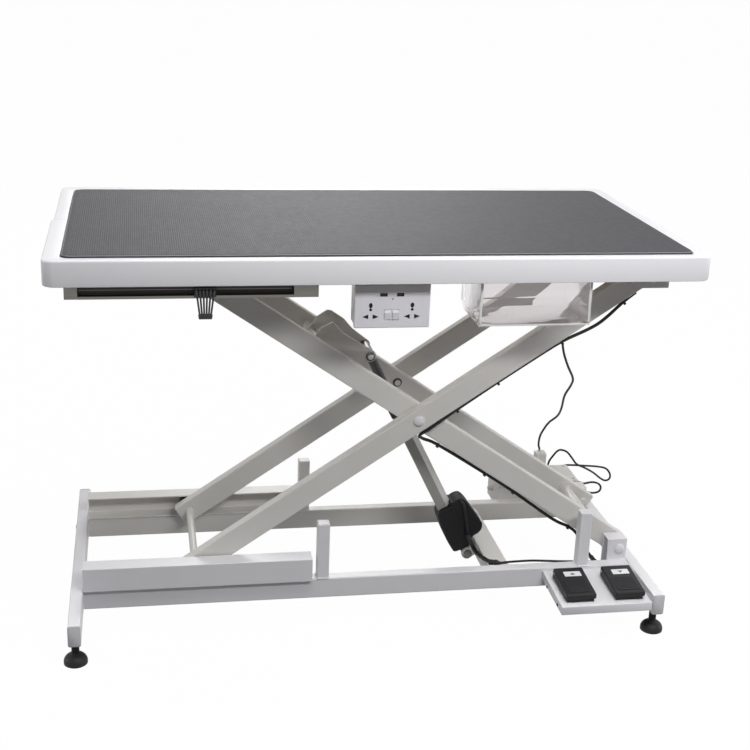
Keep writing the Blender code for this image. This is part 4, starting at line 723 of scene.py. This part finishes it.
baseSpec = {"soft": 0.003, "postWidth": 0.0255, "postX": (-0.092, 0.479), "postTop": 0.219,
            "postSoft": 0.0024, "bracketWall": 0.004, "bracketRun": 0.0435, "bracketTop": 0.1425,
            "bracketLow": 0.05, "bracketY": (0.158, 0.1225), "bracketSoft": 0.0012, "railY": (0.182, 0.157),
            "railZ": (0.049, 0.094), "plugProud": 0.0018, "plugCorner": 0.0045, "channelWall": 0.003,
            "channelSoft": 0.0011}
footSpec = {"radius": 0.0235, "neck": 0.0078, "flare": 0.0236, "neckTop": 0.047, "stem": 0.006,
            "root": 0.0052, "pitch": 0.0016}
weldSpec = {"radius": 0.0021, "spacing": 0.0027, "inset": 0.003, "postInset": 0.002}
# the base pivot nuts' darker coat is painted shade
# name, body, node, pivot, outer and inner face of what each bolt holds, finish of its nuts
boltSpec = (("basePivot", "base", "base_pivot_bolt_", basePivot, 0.158, 0.0935, shadeDarkenedCoat),
            ("centrePivot", "outer_arms", "centre_pivot_bolt_", centrePivot, 0.15, 0.0935, darkSteel),
            ("topPivot", "table", "top_pivot_bolt_", tablePivot, 0.183, 0.125, darkSteel))


def makeBars():
    plugs = []
    for side in ("left", "right"):
        node = "base_bar_" + side
        low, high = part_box(node)
        finishPiece("endBar" + side.title(), box(low, high), powderCoat, "base", node, baseSpec["soft"])
        middle, size = (low + high) / 2, high - low
        plugs += [((middle.x, low.y, middle.z), (0, 0, 0)), ((middle.x, high.y, middle.z), (0, 0, math.pi))]
    plug, rings, proud = bmesh.new(), [], baseSpec["plugProud"]
    for inset, y in ((0.0004, 0.0004), (-0.0002, -0.0002), (-0.0002, -0.6 * proud), (0.0008, -proud)):
        outline = cornerOutline(size.x - 2 * inset, size.z - 2 * inset, baseSpec["plugCorner"], 5)
        rings.append([plug.verts.new((x, y, z)) for x, z in outline])
    joinRings(plug, rings)
    repeatShape("tubePlugs", plug, plugs, plugPlastic, "base")


def makeBase():
    spec = baseSpec
    makeBars()
    bottom, top = spec["railZ"]
    for side, sign in sides.items():
        low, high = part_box("base_rail_" + side)
        y0, y1 = sorted(sign * y for y in spec["railY"])
        # the rear side's pieces take the darker coat: painted shade
        label, coat = side.title(), powderCoat if side == "front" else shadeDarkenedCoat
        finishPiece("longRail" + label, box((low.x, y0, bottom), (high.x, y1, top)), coat, "base",
                    "base_rail_" + side, spec["soft"])
        half = spec["postWidth"] / 2
        for x, place in zip(spec["postX"], ("Left", "Right")):
            post = box((x - half, y0, top - 0.0005), (x + half, y1, spec["postTop"]))
            finishPiece("stopPost" + label + place, post, coat, "base", None, spec["postSoft"])
        wall = spec["bracketWall"] * sign
        outer, inner = (sign * y for y in spec["bracketY"])
        ridge, foot = spec["bracketTop"], spec["bracketLow"]
        roof = ridge - spec["bracketWall"]
        outline = [(outer, foot), (outer, ridge), (inner, ridge), (inner, foot), (inner + wall, foot),
                   (inner + wall, roof), (outer - wall, roof), (outer - wall, foot)]
        finishPiece("pivotBracket" + label, prism(outline, "x", high.x - spec["bracketRun"], high.x), coat,
                    "base", None, spec["bracketSoft"])
        low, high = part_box("roller_channel_" + side)
        web, lip = (low.y, high.y) if sign < 0 else (high.y, low.y)
        thick = spec["channelWall"]
        inner = web - sign * thick
        outline = [(web, low.z), (lip, low.z), (lip, low.z + thick), (inner, low.z + thick),
                   (inner, high.z - thick), (lip, high.z - thick), (lip, high.z), (web, high.z)]
        finishPiece("rollerChannel" + label, prism(outline, "x", low.x, high.x), coat, "base",
                    "roller_channel_" + side, spec["channelSoft"])
    # the cross tube's darker coat is painted shade
    copyPiece("crossTube", "base_cross_tube", shadeDarkenedCoat, "base", 0.0009)


def beadLine(start, end):
    start, end = Vector(start), Vector(end)
    count = max(2, round((end - start).length / weldSpec["spacing"]))
    return [(start.lerp(end, i / count), (0.3 * (i % 3), 0.2 * (i % 2), 0.5 * (i % 4)))
            for i in range(count + 1)]


# weld beads where the tubes, posts and brackets of the base meet
def makeWelds():
    spec, places = baseSpec, []
    left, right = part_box("base_bar_left")[1].x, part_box("base_bar_right")[0].x
    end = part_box("base_rail_front")[1].x
    (zLow, zHigh), (outer, inner), half = spec["railZ"], spec["railY"], spec["postWidth"] / 2
    inset, postInset, r = weldSpec["inset"], weldSpec["postInset"], weldSpec["radius"]
    for sign in sides.values():
        for y in (sign * outer, sign * inner):
            for x in (left, right):
                places += beadLine((x, y, zLow + inset), (x, y, zHigh - inset))
            for x in spec["postX"]:
                places += beadLine((x - half + postInset, y, zHigh), (x + half - postInset, y, zHigh))
        for x in spec["postX"]:
            for x0 in (x - half, x + half):
                places += beadLine((x0, sign * (inner + postInset), zHigh),
                                   (x0, sign * (outer - postInset), zHigh))
        places += beadLine((end - spec["bracketRun"] + inset, sign * inner, zHigh),
                           (end - inset, sign * inner, zHigh))
    bead = turnedShape([(0, -r), (0.72 * r, -0.7 * r), (r, 0), (0.72 * r, 0.7 * r), (0, r)], sides=8)
    repeatShape("weldBeads", bead, places, powderCoat, "base")


# bell-shaped rubber foot on a ribbed neck and a threaded stem
def footProfile(high):
    r, neck, stem, root, pitch = (footSpec[k] for k in ("radius", "neck", "stem", "root", "pitch"))
    z = footSpec["flare"]
    profile = [(0, 0), (0.9 * r, 0), (r, 0.0016), (r, 0.0075), (0.97 * r, 0.0105), (0.9 * r, 0.0138),
               (0.8 * r, 0.0168), (0.66 * r, 0.0195), (0.5 * r, 0.0215), (0.36 * r, 0.023), (neck, z)]
    while z < footSpec["neckTop"]:
        profile += [(neck, z + 0.0006), (neck - 0.0009, z + 0.001), (neck - 0.0009, z + 0.0014),
                    (neck, z + pitch)]
        z += pitch
    profile += [(neck, 0.0484), (stem, 0.0486)]
    z = 0.05
    while z < high - pitch:
        profile += [(stem, z), (root, z + 0.0007)]
        z += pitch
    return profile + [(root, high), (0, high)]


def makeFeet():
    for side in sides:
        for end in ("left", "right"):
            node = f"levelling_foot_{side}_{end}"
            low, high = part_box(node)
            shape = turnedShape(footProfile(high.z), "z", ((low.x + high.x) / 2, (low.y + high.y) / 2, 0))
            finishPiece("levellingFoot" + side.title() + end.title(), shape, blackRubber,
                        f"foot_{side}_{end}", node, angle=35)


# domed caps outside, nuts on washers inside
def makeBolts():
    gap = 0.0003
    for name, body, node, place, outerY, innerY, nutFinish in boltSpec:
        through = 1000 * (outerY - innerY + gap)
        profile = mm((0, -7), (4, -6.8), (7.2, -6.1), (9.8, -4.7), (11.2, -3), (11.5, -1.2), (11.2, -0.3),
                     (7, -0.3), (7, through + 3), (6.2, through + 6), (0, through + 6))
        for side, sign in sides.items():
            centre = (place.x, sign * outerY, place.z)
            shape = turnedShape([(r, -sign * d) for r, d in profile], "y", centre, 36)
            finishPiece(name + "Cap" + side.title(), shape, powderCoat, body, node + side)
        nut = prism(ringPoints(0.0105, 24), "z", 0.0, 0.0008)
        prism(ringPoints(0.0096, 6), "z", 0.0008, 0.0042, nut)
        repeatShape(name + "Nuts", nut, bothSides(place, innerY - gap, 1), nutFinish, body)


makeBase()
makeWelds()
makeFeet()
makeBolts()
print("base made")

# scissor arms, axles, rollers and lever

armSpec = {"height": 0.048, "soft": 0.003, "outer": (0.125, 0.15), "inner": (0.0935, 0.1185),
           "overhang": 0.026, "shortEnd": 0.017}
leverSpec = {"pin": (-0.6916, 0.0404), "headY": 0.0475}


def makeArms():
    half, overhang, shortEnd = armSpec["height"] / 2, armSpec["overhang"], armSpec["shortEnd"]
    for side, sign in sides.items():
        for name, place, left, right in (("inner", innerFrame, -2 * armHalf - overhang, shortEnd),
                                         ("outer", outerFrame, -armHalf - overhang, armHalf + shortEnd)):
            y0, y1 = sorted(sign * y for y in armSpec[name])
            shape = placed(box((left, y0, -half), (right, y1, half)), place)
            # all arms take the darker coat: painted shade under the table
            finishPiece(name + "Arm" + side.title(), shape, shadeDarkenedCoat, name + "_arms", f"{name}_arm_{side}",
                        armSpec["soft"])


def makeRollers():
    for name in ("base", "top"):
        for side in sides:
            node = f"{name}_roller_{side}"
            low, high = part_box(node)
            radius, half, bore = (high.z - low.z) / 2, (high.y - low.y) / 2, 0.0086
            face = [(0.013, half), (0.0135, half - 0.001), (0.0185, half - 0.001), (0.019, half),
                    (radius - 0.0015, half), (radius, half - 0.0015)]
            hub = [(bore, half), (bore, -half)]
            profile = hub[1:] + [(r, -y) for r, y in face] + face[::-1] + hub
            finishPiece(name + "Roller" + side.title(), turnedShape(profile, "y", (low + high) / 2),
                        blackPlastic, name + "_rollers", node)


def makeScissor():
    makeArms()
    for name, node, body in (("lowerCrossTube", "inner_cross_tube", "inner_arms"),
                             ("topAxle", "top_axle", "inner_arms"), ("baseAxle", "base_axle", "outer_arms")):
        low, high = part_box(node)
        radius, half, soft = (high.z - low.z) / 2, (high.y - low.y) / 2, 0.001
        profile = [(0, -half), (radius - soft, -half), (radius, soft - half), (radius, half - soft),
                   (radius - soft, half), (0, half)]
        # the axles' darker coat is painted shade
        finishPiece(name, turnedShape(profile, "y", (low + high) / 2), shadeDarkenedCoat, body, node)
    makeRollers()
    # the lever's darker coat is painted shade
    copyPiece("actuatorLever", "lever", shadeDarkenedCoat, "inner_arms", 0.0008)
    spots = bothSides(innerFrame @ Vector(onAxis("y", 0, leverSpec["pin"])), leverSpec["headY"])
    ring = turnedShape(mm((5.8, -3), (9.9, -3), (9.9, 0.4), (8.9, 1), (5.8, 1), (5.8, -3)), sides=28)
    repeatShape("leverPinRings", ring, spots, darkSteel, "inner_arms")
    end = turnedShape(mm((0, -3), (5.7, -3), (5.7, 1.2), (5, 1.8), (2.2, 1.8), (1.8, 0.8), (0, 0.8)),
                      sides=28)
    repeatShape("leverPinEnds", end, spots, zincSteel, "inner_arms")


makeScissor()
print("scissor made")

# actuator

actuatorSpec = {"tubeWide": 0.0165, "tubeDeep": 0.0145, "tubeSoft": 0.0035, "tubeLow": 0.11, "tubeTop": 0.385,
                "bore": 0.0106, "capProud": 0.0012, "capLow": 0.3775, "gearboxHalf": 0.025,
                "motorHalf": 0.0235, "eyeRadius": 0.011, "eyeTop": 0.04, "eyeHalf": 0.0165, "eyeBore": 0.0066,
                "cable": 0.0036}
gearboxOutline = mm((-24, 17.5), (-27.8, 30), (-29, 60), (-26.8, 98), (-22.5, 117), (-15, 125.5), (2, 126.8),
                    (18, 124), (20.5, 108), (20.5, 40), (16.5, 19), (-4, 15.5))
motorOutline = mm((12, 34), (32, 33.5), (44, 34.5), (55, 41.5), (60, 53.5), (57.8, 66), (54, 93), (50, 116),
                  (44, 129), (34, 133), (22.5, 132), (12, 125))


# guide tube: rounded at the left, cut off flat at its right front edge
def tubeOutline(grow):
    spec = actuatorSpec
    wide, deep, soft = spec["tubeWide"] + grow, spec["tubeDeep"] + grow, spec["tubeSoft"]
    return [(-wide, soft - deep), (0.001 - wide, 0.001 - deep), (soft - wide, -deep), (0.0045, -deep),
            (wide, 0.01 - deep), (wide, deep - soft), (wide - 0.001, deep - 0.001), (wide - soft, deep),
            (soft - wide, deep), (0.001 - wide, deep - 0.001), (-wide, deep - soft)]


def boreShape(radius, axis, low, high):
    return turnedShape([(0, low), (radius, low), (radius, high), (0, high)], axis, sides=36)


def finishCarved(name, shape, finish, node=None):
    finishPiece(name, placed(shape, actuatorFrame), finish, "actuator", node, angle=35, even=True)


def makeActuator():
    spec = actuatorSpec
    for name, outline, half, soft, node in (
            ("gearboxHousing", gearboxOutline, spec["gearboxHalf"], 0.006, "actuator_housing"),
            ("motorHousing", motorOutline, spec["motorHalf"], 0.0085, None)):
        shape = placed(prism(smoothOutline(outline), "y", -half, half), actuatorFrame)
        finishPiece(name, shape, housingPlastic, "actuator", node, soft, 5, 50)
    r, half = spec["eyeRadius"], spec["eyeHalf"]
    arc = [(-r * math.cos(math.pi * i / 14), -r * math.sin(math.pi * i / 14)) for i in range(15)]
    eye = prism(arc + [(r, spec["eyeTop"]), (-r, spec["eyeTop"])], "y", -half, half)
    eye = carve(eye, [(0, boreShape(spec["eyeBore"], "y", -0.03, 0.03))], (housingPlastic,), 0.001, 2, 50)
    finishCarved("lowerEye", eye, housingPlastic)

    finishes = (greyEnamel, slotShade, litFlatHighlight)
    tube = prism(tubeOutline(0.0), "z", spec["tubeLow"], spec["tubeTop"])
    # the bore's cut faces take the dark painted shade
    tube = carve(tube, [(1, boreShape(spec["bore"], "z", 0.05, 0.5))], finishes)
    # the right front flat takes the lighter copy of the tube colour: a painted highlight
    for face in tube.faces:
        face.normal_update()
        if face.normal.x > 0.4 and face.normal.y < -0.4 and face.material_index == 0:
            face.material_index = 2
    finishCarved("guideTube", tube, finishes, "actuator_tube")
    cap = prism(tubeOutline(spec["capProud"]), "z", spec["capLow"], spec["tubeTop"] + 0.0025)
    sleeve = prism(tubeOutline(0.0), "z", 0.3, spec["tubeTop"] + 0.0002)
    cap = carve(cap, [(0, sleeve), (0, boreShape(spec["bore"], "z", 0.3, 0.5))], (blackPlastic,))
    finishCarved("tubeCap", cap, blackPlastic)
    copyPiece("pushRod", "actuator_rod", blackSteel, "rod")
    copyPiece("clevisPin", "clevis_pin", darkSteel, "base", 0.0006)

    bush = turnedShape(mm((6.7, 0), (10.6, 0), (10.6, 0.7), (10, 1.2), (6.7, 1.2), (6.7, 0)), sides=28)
    repeatShape("eyeBushes", bush, bothSides(clevisPivot, 0.0164), darkSteel, "actuator")
    # the motor's own cable lies in the hollow between gearbox and motor, down to the boot
    run = mm((38, -22.5, 129), (40, -25.8, 120), (37.8, -26.6, 106), (34, -26.6, 91.5), (28.5, -26.6, 72),
             (22.8, -27.2, 56), (19, -29, 46.5))
    points, _ = smoothRoute([actuatorFrame @ Vector(p) for p in run], cordSpec["bootStep"])
    cable = link("motorCable", tubeMesh("motorCable", points, spec["cable"]))
    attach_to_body(cable, "actuator")


makeActuator()
print("actuator made")

# fittings under the front edge: hook rail, socket, tray

hookSpec = {"count": 6, "topStep": 0.0068, "lowStep": 0.0037, "length": 0.06, "rod": 0.0018, "knob": 0.003,
            "knobLength": 0.0115, "sleeve": 0.0032, "slotLeft": 0.025, "slotRight": 0.047, "lip": 0.0052,
            "carrier": 0.02, "proud": 0.0006}


# the rail's slot is painted dark inside as shade, with a pale rib along its back and a lip below
def makeHookRail():
    low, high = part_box("hook_rail")
    left, right = low.x + hookSpec["slotLeft"], high.x - hookSpec["slotRight"]
    shape = nodeCopy("hook_rail")
    # faces inside the slot take the painted shade
    for face in shape.faces:
        middle = face.calc_center_median()
        inside = left < middle.x < right and low.y + 0.001 < middle.y < high.y - 0.001
        face.material_index = 1 if inside and low.z + 0.002 < middle.z < low.z + 0.0235 else 0
    finishPiece("hookRail", shape, (dullAluminium, slotShade), "table", "hook_rail", 0.0006, 2)
    lips = box((left - 0.001, low.y - 0.0002, low.z),
               (right + 0.001, low.y + 0.0018, low.z + hookSpec["lip"]))
    box((left, high.y - 0.0034, low.z + 0.0116), (right, high.y - 0.0029, low.z + 0.013), lips)
    finishPiece("hookRailLips", lips, dullAluminium, "table")


# six hooks hang from a carrier that slides in the slot
def makeHooks():
    spec = hookSpec
    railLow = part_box("hook_rail")[0]
    low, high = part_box("hook_set")
    x, wire, half, face = (low.x + high.x) / 2, low.y + 0.002, spec["carrier"], railLow.y - spec["proud"]
    shape = box((x - half, face, railLow.z + spec["lip"] + 0.0004), (x + half, high.y, high.z))
    box((x - half, wire, railLow.z + 0.003), (x + half, face, high.z), shape)
    finishPiece("hookCarrier", shape, blackPlastic, "hooks", "hook_set", 0.0007, 2)
    r, k, s, top = spec["rod"], spec["knob"], spec["sleeve"], spec["length"]
    profile = [(0, 0), (0.6 * k, 0.0004), (k, 0.0022), (k, 0.0085), (0.7 * k, 0.0105),
               (r, spec["knobLength"]), (r, 0.0445), (0.8 * s, 0.0455), (s, 0.047), (s, 0.055),
               (0.8 * s, 0.056), (r, 0.0565), (r, top), (0, top)]
    places = []
    for i in range(spec["count"]):
        step = i - (spec["count"] - 1) / 2
        lean = math.atan2(step * (spec["topStep"] - spec["lowStep"]), top)
        places.append(((x + step * spec["lowStep"], wire, low.z), (0, lean, 0)))
    repeatShape("hookWires", turnedShape(profile, sides=12), places, blackSteel, "hooks")


socketSpec = {"soft": 0.003, "ahead": 0.002, "depth": 0.0045, "groupX": (-0.031, 0.049),
              "bladeSpread": 0.0098, "ovalZ": 0.722, "dotZ": 0.7137, "bladeZ": 0.7, "usbX": (-0.0065, 0.0255),
              "usb": (0.014, 0.0066), "usbZ": 0.7427, "lampX": 0.0108, "lampZ": 0.7345,
              "rockerX": (0.00165, 0.01715), "rockerZ": 0.70334, "rockerHalf": 0.0098,
              "pocket": (0.0067, 0.0068, 0.0107), "line": 0.0008, "panel": (-0.0515, 0.069, 0.6915, 0.75)}


# dark holes of the plate: an oval, a round and two three-cornered ones for each outlet, two charging ports
def socketHoles(front):
    spec, outlines = socketSpec, []
    for x in spec["groupX"]:
        outlines.append([(x + a, spec["ovalZ"] + 1.45 * b) for a, b in ringPoints(0.0036, 20)])
        outlines.append([(x + a, spec["dotZ"] + b) for a, b in ringPoints(0.0028, 16)])
        for sign in (-1, 1):
            cx, cz = x + sign * spec["bladeSpread"], spec["bladeZ"]
            outlines.append([(cx + sign * a, cz + b) for a, b in mm((6, 0), (-5.6, -4.6), (-5.6, 4.6))])
    for x in spec["usbX"]:
        outlines.append(cornerOutline(*spec["usb"], 0.0008, 3, (x, spec["usbZ"])))
    holes = bmesh.new()
    for outline in outlines:
        prism(outline, "y", front - spec["ahead"], front + spec["depth"], holes)
    return holes


# white recesses of the plate: the line round its middle panel and the rockers' pockets
def socketRecesses(front):
    spec, recess = socketSpec, bmesh.new()
    (left, right, bottom, top), line, ahead = spec["panel"], spec["line"], front - spec["ahead"]
    for x0, x1, z0, z1 in ((left, right, bottom, bottom + line), (left, right, top - line, top),
                           (left, left + line, bottom, top), (right - line, right, bottom, top)):
        box((x0, ahead, z0), (x1, front + 0.0007, z1), recess)
    (wide, deep, tall), z = spec["pocket"], spec["rockerZ"]
    for x in spec["rockerX"]:
        box((x - wide, ahead, z - tall), (x + wide, front + deep, z + tall), recess)
    return recess


def makeSocket():
    spec = socketSpec
    low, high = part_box("socket_plate")
    front, finishes = low.y, (socketPlastic, holeBlack)
    shape = carve(box(low, high), [(1, socketHoles(front)), (0, socketRecesses(front))], finishes,
                  spec["soft"], 4)
    finishPiece("socketPlate", shape, finishes, "table", "socket_plate", angle=35, even=True)
    z, half = spec["rockerZ"], spec["rockerHalf"]
    for side, x in zip(("left", "right"), spec["rockerX"]):
        rocker = prism([(front + 0.0046, z - 0.0084), (front + 0.0004, z - half),
                        (front - 0.0024, z + 0.0045), (front + 0.0012, z + half),
                        (front + 0.0046, z + 0.0084)], "x", x - 0.0062, x + 0.0062)
        finishPiece("rocker" + side.title(), rocker, socketPlastic, "rocker_" + side, "rocker_" + side,
                    0.0006)
    tongue = box((-0.0052, 0.0, -0.001), (0.0052, 0.0034, 0.001))
    spots = [((x, front + 0.0015, spec["usbZ"] - 0.0008), (0, 0, 0)) for x in spec["usbX"]]
    repeatShape("chargeTongues", tongue, spots, blackSteel, "table")
    lens = turnedShape(mm((0, -0.9), (1, -0.8), (1.8, -0.4), (2.1, 0.2), (2.1, 2), (0, 2)), "y",
                       (spec["lampX"], front, spec["lampZ"]), 20)
    finishPiece("socketLamp", lens, lampLens, "table")


traySpec = {"left": 0.178, "right": 0.399, "strip": 0.0042, "proud": 0.00025, "soft": 0.0008, "inset": 0.0002}


# clear tray with sawn, pale edges where its sheets are glued
def makeTray():
    spec = traySpec
    copyPiece("clearTray", "tray", acrylic, "tray", spec["soft"])
    low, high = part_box("tray")
    left, right, wide = spec["left"] + spec["inset"], spec["right"] - spec["inset"], spec["strip"]
    strips = bmesh.new()
    for x0, x1, z0, z1 in ((left, left + wide, low.z + 0.006, high.z - 0.0012),
                           (right - wide, right, low.z + 0.006, high.z - 0.0012),
                           (left, right, low.z + 0.0004, low.z + 0.004),
                           (left + 0.0046, right - 0.0046, high.z - 0.0045, high.z - 0.0018)):
        box((x0, low.y - spec["proud"], z0), (x1, low.y + 0.0001, z1), strips)
    finishPiece("trayEdges", strips, frostedEdge, "tray")


makeHookRail()
makeHooks()
makeSocket()
makeTray()
print("front fittings made")

# pedals and control box

pedalSpec = {"x": {"up": 0.434, "down": 0.541}, "width": 0.065, "front": -0.316, "back": -0.213,
             "skirt": 0.0858, "frontTop": 0.0978, "backTop": 0.1083, "edge": 0.003, "shell": 0.0025,
             "hinge": (-0.222, 0.0998), "padInset": 0.0075, "padStart": 0.01, "padEnd": 0.062, "ribs": 10,
             "ribStart": 0.016, "ribPitch": 0.0042, "label": (0.037, 0.018), "labelFromBack": 0.0255,
             "labelRight": 0.003, "baseGrow": 0.0016, "plateSlope": 0.0652,
             "sideScrews": ((-0.222, 0.069), (-0.297, 0.0665))}


def makeTreadle(name):
    spec = pedalSpec
    x, half, shell, edge = spec["x"][name], spec["width"] / 2, spec["shell"], spec["edge"]
    front, back, skirt = spec["front"], spec["back"], spec["skirt"]
    frontTop, backTop = spec["frontTop"], spec["backTop"]
    body, label, below = "treadle_" + name, name.title(), skirt - 0.01
    outline = [(front, skirt), (front, frontTop), (back, backTop), (back, skirt)]
    outer = prism(outline, "x", x - half, x + half)
    hollow = prism([(front + shell, below), (front + shell, frontTop - shell - edge / 2),
                    (front + 2 * shell, frontTop - shell), (back - 2 * shell, backTop - shell),
                    (back - shell, backTop - shell - edge / 2), (back - shell, below)],
                   "x", x + shell - half, x + half - shell)
    shape = carve(outer, [(0, hollow)], (blackPlastic,), edge, 4, 40)
    finishPiece("treadle" + label, shape, blackPlastic, body, body, angle=40, even=True)

    slope = math.atan2(backTop - frontTop, back - front)
    top = Matrix.Translation((x, front, frontTop)) @ Matrix.Rotation(slope, 4, "X")
    wide, length = half - spec["padInset"], spec["padEnd"] - spec["padStart"]
    outline = cornerOutline(2 * wide, length, 0.004, 5, (0, spec["padStart"] + length / 2))
    pad = prism(outline, "z", -0.0006, 0.0012)
    finishPiece("treadlePad" + label, placed(pad, top), pedalPad, body, None, 0.0009, 2)
    rib = prism(mm((-0.8, 0), (0.8, 0), (0.4, 0.6), (-0.4, 0.6)), "x", 0.004 - wide, wide - 0.004)
    ribs = [(top @ Vector((0, spec["ribStart"] + spec["ribPitch"] * i, 0.00115)), (slope, 0, 0))
            for i in range(spec["ribs"])]
    repeatShape("treadleRibs" + label, rib, ribs, pedalPad, body)
    right, centre = spec["labelRight"], (back - front) / math.cos(slope) - spec["labelFromBack"]
    paper = prism(cornerOutline(*spec["label"], 0.0015, 4, (right, centre)), "z", -0.0003, 0.0003)
    finishPiece("treadleLabel" + label, placed(paper, top), labelPaper, body)
    way = 1 if name == "up" else -1
    arrow = [(right + a, centre + b * way) for a, b in mm((-5.5, -3), (5.5, -3), (0, 4.2))]
    finishPiece("treadleArrow" + label, placed(prism(arrow, "z", 0.0001, 0.00045), top), labelInk, body)


def screwShape(r):
    return turnedShape([(0, 0.0006), (0.26 * r, 0.0007), (0.38 * r, 0.0019), (0.72 * r, 0.0017), (r, 0.0008),
                        (r, -0.0004), (0, -0.0004)], sides=14)


def makePedals():
    spec = pedalSpec
    copyPiece("pedalPlate", "pedal_plate", powderCoat, "base", 0.0009)
    pins, (y, z) = [], spec["hinge"]
    for name, x in spec["x"].items():
        makeTreadle(name)
        node = "pedal_base_" + name
        low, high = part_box(node)
        rise = spec["plateSlope"] * (high.y - low.y)
        outline = [(low.y, low.z), (low.y, high.z), (high.y, high.z), (high.y, low.z + rise)]
        shape = prism(outline, "x", low.x - spec["baseGrow"], high.x + spec["baseGrow"])
        finishPiece("pedalBase" + name.title(), shape, blackPlastic, "base", node, 0.0012)
        pins += [((x + sign * spec["width"] / 2, y, z), (0, sign * math.pi / 2, 0)) for sign in (-1, 1)]
    pin = turnedShape(mm((0, 0.9), (2, 0.9), (2.6, 0.3), (2.6, -0.8), (0, -0.8)), sides=16)
    repeatShape("hingePins", pin, pins, zincSteel, "base")
    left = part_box("pedal_plate")[0].x
    spots = [((left, y, z), (0, -math.pi / 2, 0)) for y, z in spec["sideScrews"]]
    repeatShape("plateScrews", screwShape(0.0036), spots, blackSteel, "base")


boxSpec = {"low": (0.384, 0.1823, 0.068), "high": (0.5862, 0.2803, 0.1355), "round": 0.006, "seam": 0.121,
           "gap": 0.0008, "tubInset": 0.0008, "sealInset": 0.003, "screwInset": 0.01}
glandTurn = {"x": (0, math.pi / 2, 0), "y": (-math.pi / 2, 0, 0), "z": (0, 0, 0),
             "left": (0, -math.pi / 2, 0)}


# ribbed cord gland, narrowing from its flange
def glandShape():
    return turnedShape(mm((0, -1), (7.8, -1), (7.8, 2), (6.5, 2.4), (6.5, 3.8), (5.8, 4.2), (6.5, 4.6),
                          (6.2, 6), (5.4, 6.4), (6, 6.8), (5.6, 8.2), (4.8, 8.6), (5.2, 9), (4.6, 10.6),
                          (3.6, 12), (0, 12)), sides=24)


# two-part box: a tub with a lid on top and a seal between, a gland at each cord
def makeControlBox():
    low, high, seam = Vector(boxSpec["low"]), Vector(boxSpec["high"]), boxSpec["seam"]
    middle, size = (low + high) / 2, high - low
    for name, bottom, top, inset, node, finish in (
            ("controlTub", low.z, seam, boxSpec["tubInset"], "control_box", greyPlastic),
            ("controlLid", seam + boxSpec["gap"], high.z, 0.0, None, greyPlastic),
            ("controlSeal", seam - 0.002, seam + 0.003, boxSpec["sealInset"], None, blackRubber)):
        outline = cornerOutline(size.x - 2 * inset, size.y - 2 * inset, boxSpec["round"], 6, middle.xy)
        finishPiece(name, prism(outline, "z", bottom, top), finish, "base", node, 0.0016, 3, 50)
    spots = {name: (spot, glandTurn[axis]) for name, (axis, spot) in glandSpec.items()}
    mains = spots.pop("mains")
    repeatShape("cordGlands", glandShape(), list(spots.values()), blackRubber, "base")
    repeatShape("mainsGland", glandShape(), [mains], greyPlastic, "base")
    inset = boxSpec["screwInset"]
    spots = [((x, y, high.z), (0, 0, 0.4)) for x in (low.x + inset, high.x - inset)
             for y in (low.y + inset, high.y - inset)]
    repeatShape("lidScrews", screwShape(0.003), spots, zincSteel, "base")


makePedals()
makeControlBox()
print("pedals and control box made")

# ties on the harness and screws under the board

# each tie's place along its arm, and how far it hangs below
tieSpec = {"outer": ((0.0775, 0.0025), (0.18, 0.0007), (cordSpec["hangX"], 0.0028), (0.49, 0.003)),
           "inner": ((-0.474, 0.003), (-0.345, 0.001), (-0.265, 0.001), (-0.105, 0.002)), "band": 0.0044,
           "thick": 0.0012, "half": 0.0019}
boardScrews = {"x": (-0.5, -0.17, 0.17, 0.5), "y": (-0.24, 0.0, 0.24), "radius": 0.004}


def tieShape():
    r, inner, half = tieSpec["band"], tieSpec["band"] - tieSpec["thick"], tieSpec["half"]
    shape = turnedShape([(inner, -half), (r, -half), (r, half), (inner, half), (inner, -half)], "x", sides=20)
    return box((-0.0026, -0.006, -0.0052), (0.0026, -0.0012, -0.0018), shape)


def makeTies():
    for name, place, turn in (("outer", outerFrame, -armAngle), ("inner", innerFrame, armAngle)):
        y, under = cordSpec[name + "Y"], cordSpec["armUnder"]
        spots = [(place @ Vector((x, y, under - drop)), (0, turn, 0)) for x, drop in tieSpec[name]]
        repeatShape("harnessTies" + name.title(), tieShape(), spots, blackPlastic, name + "_arms")


def makeScrews():
    low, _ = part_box("table_board")
    under = [((x, y, low.z), (math.pi, 0, 0)) for x in boardScrews["x"] for y in boardScrews["y"]]
    repeatShape("boardScrews", screwShape(boardScrews["radius"]), under, zincSteel, "table")


makeTies()
makeScrews()
print("ties and screws made")
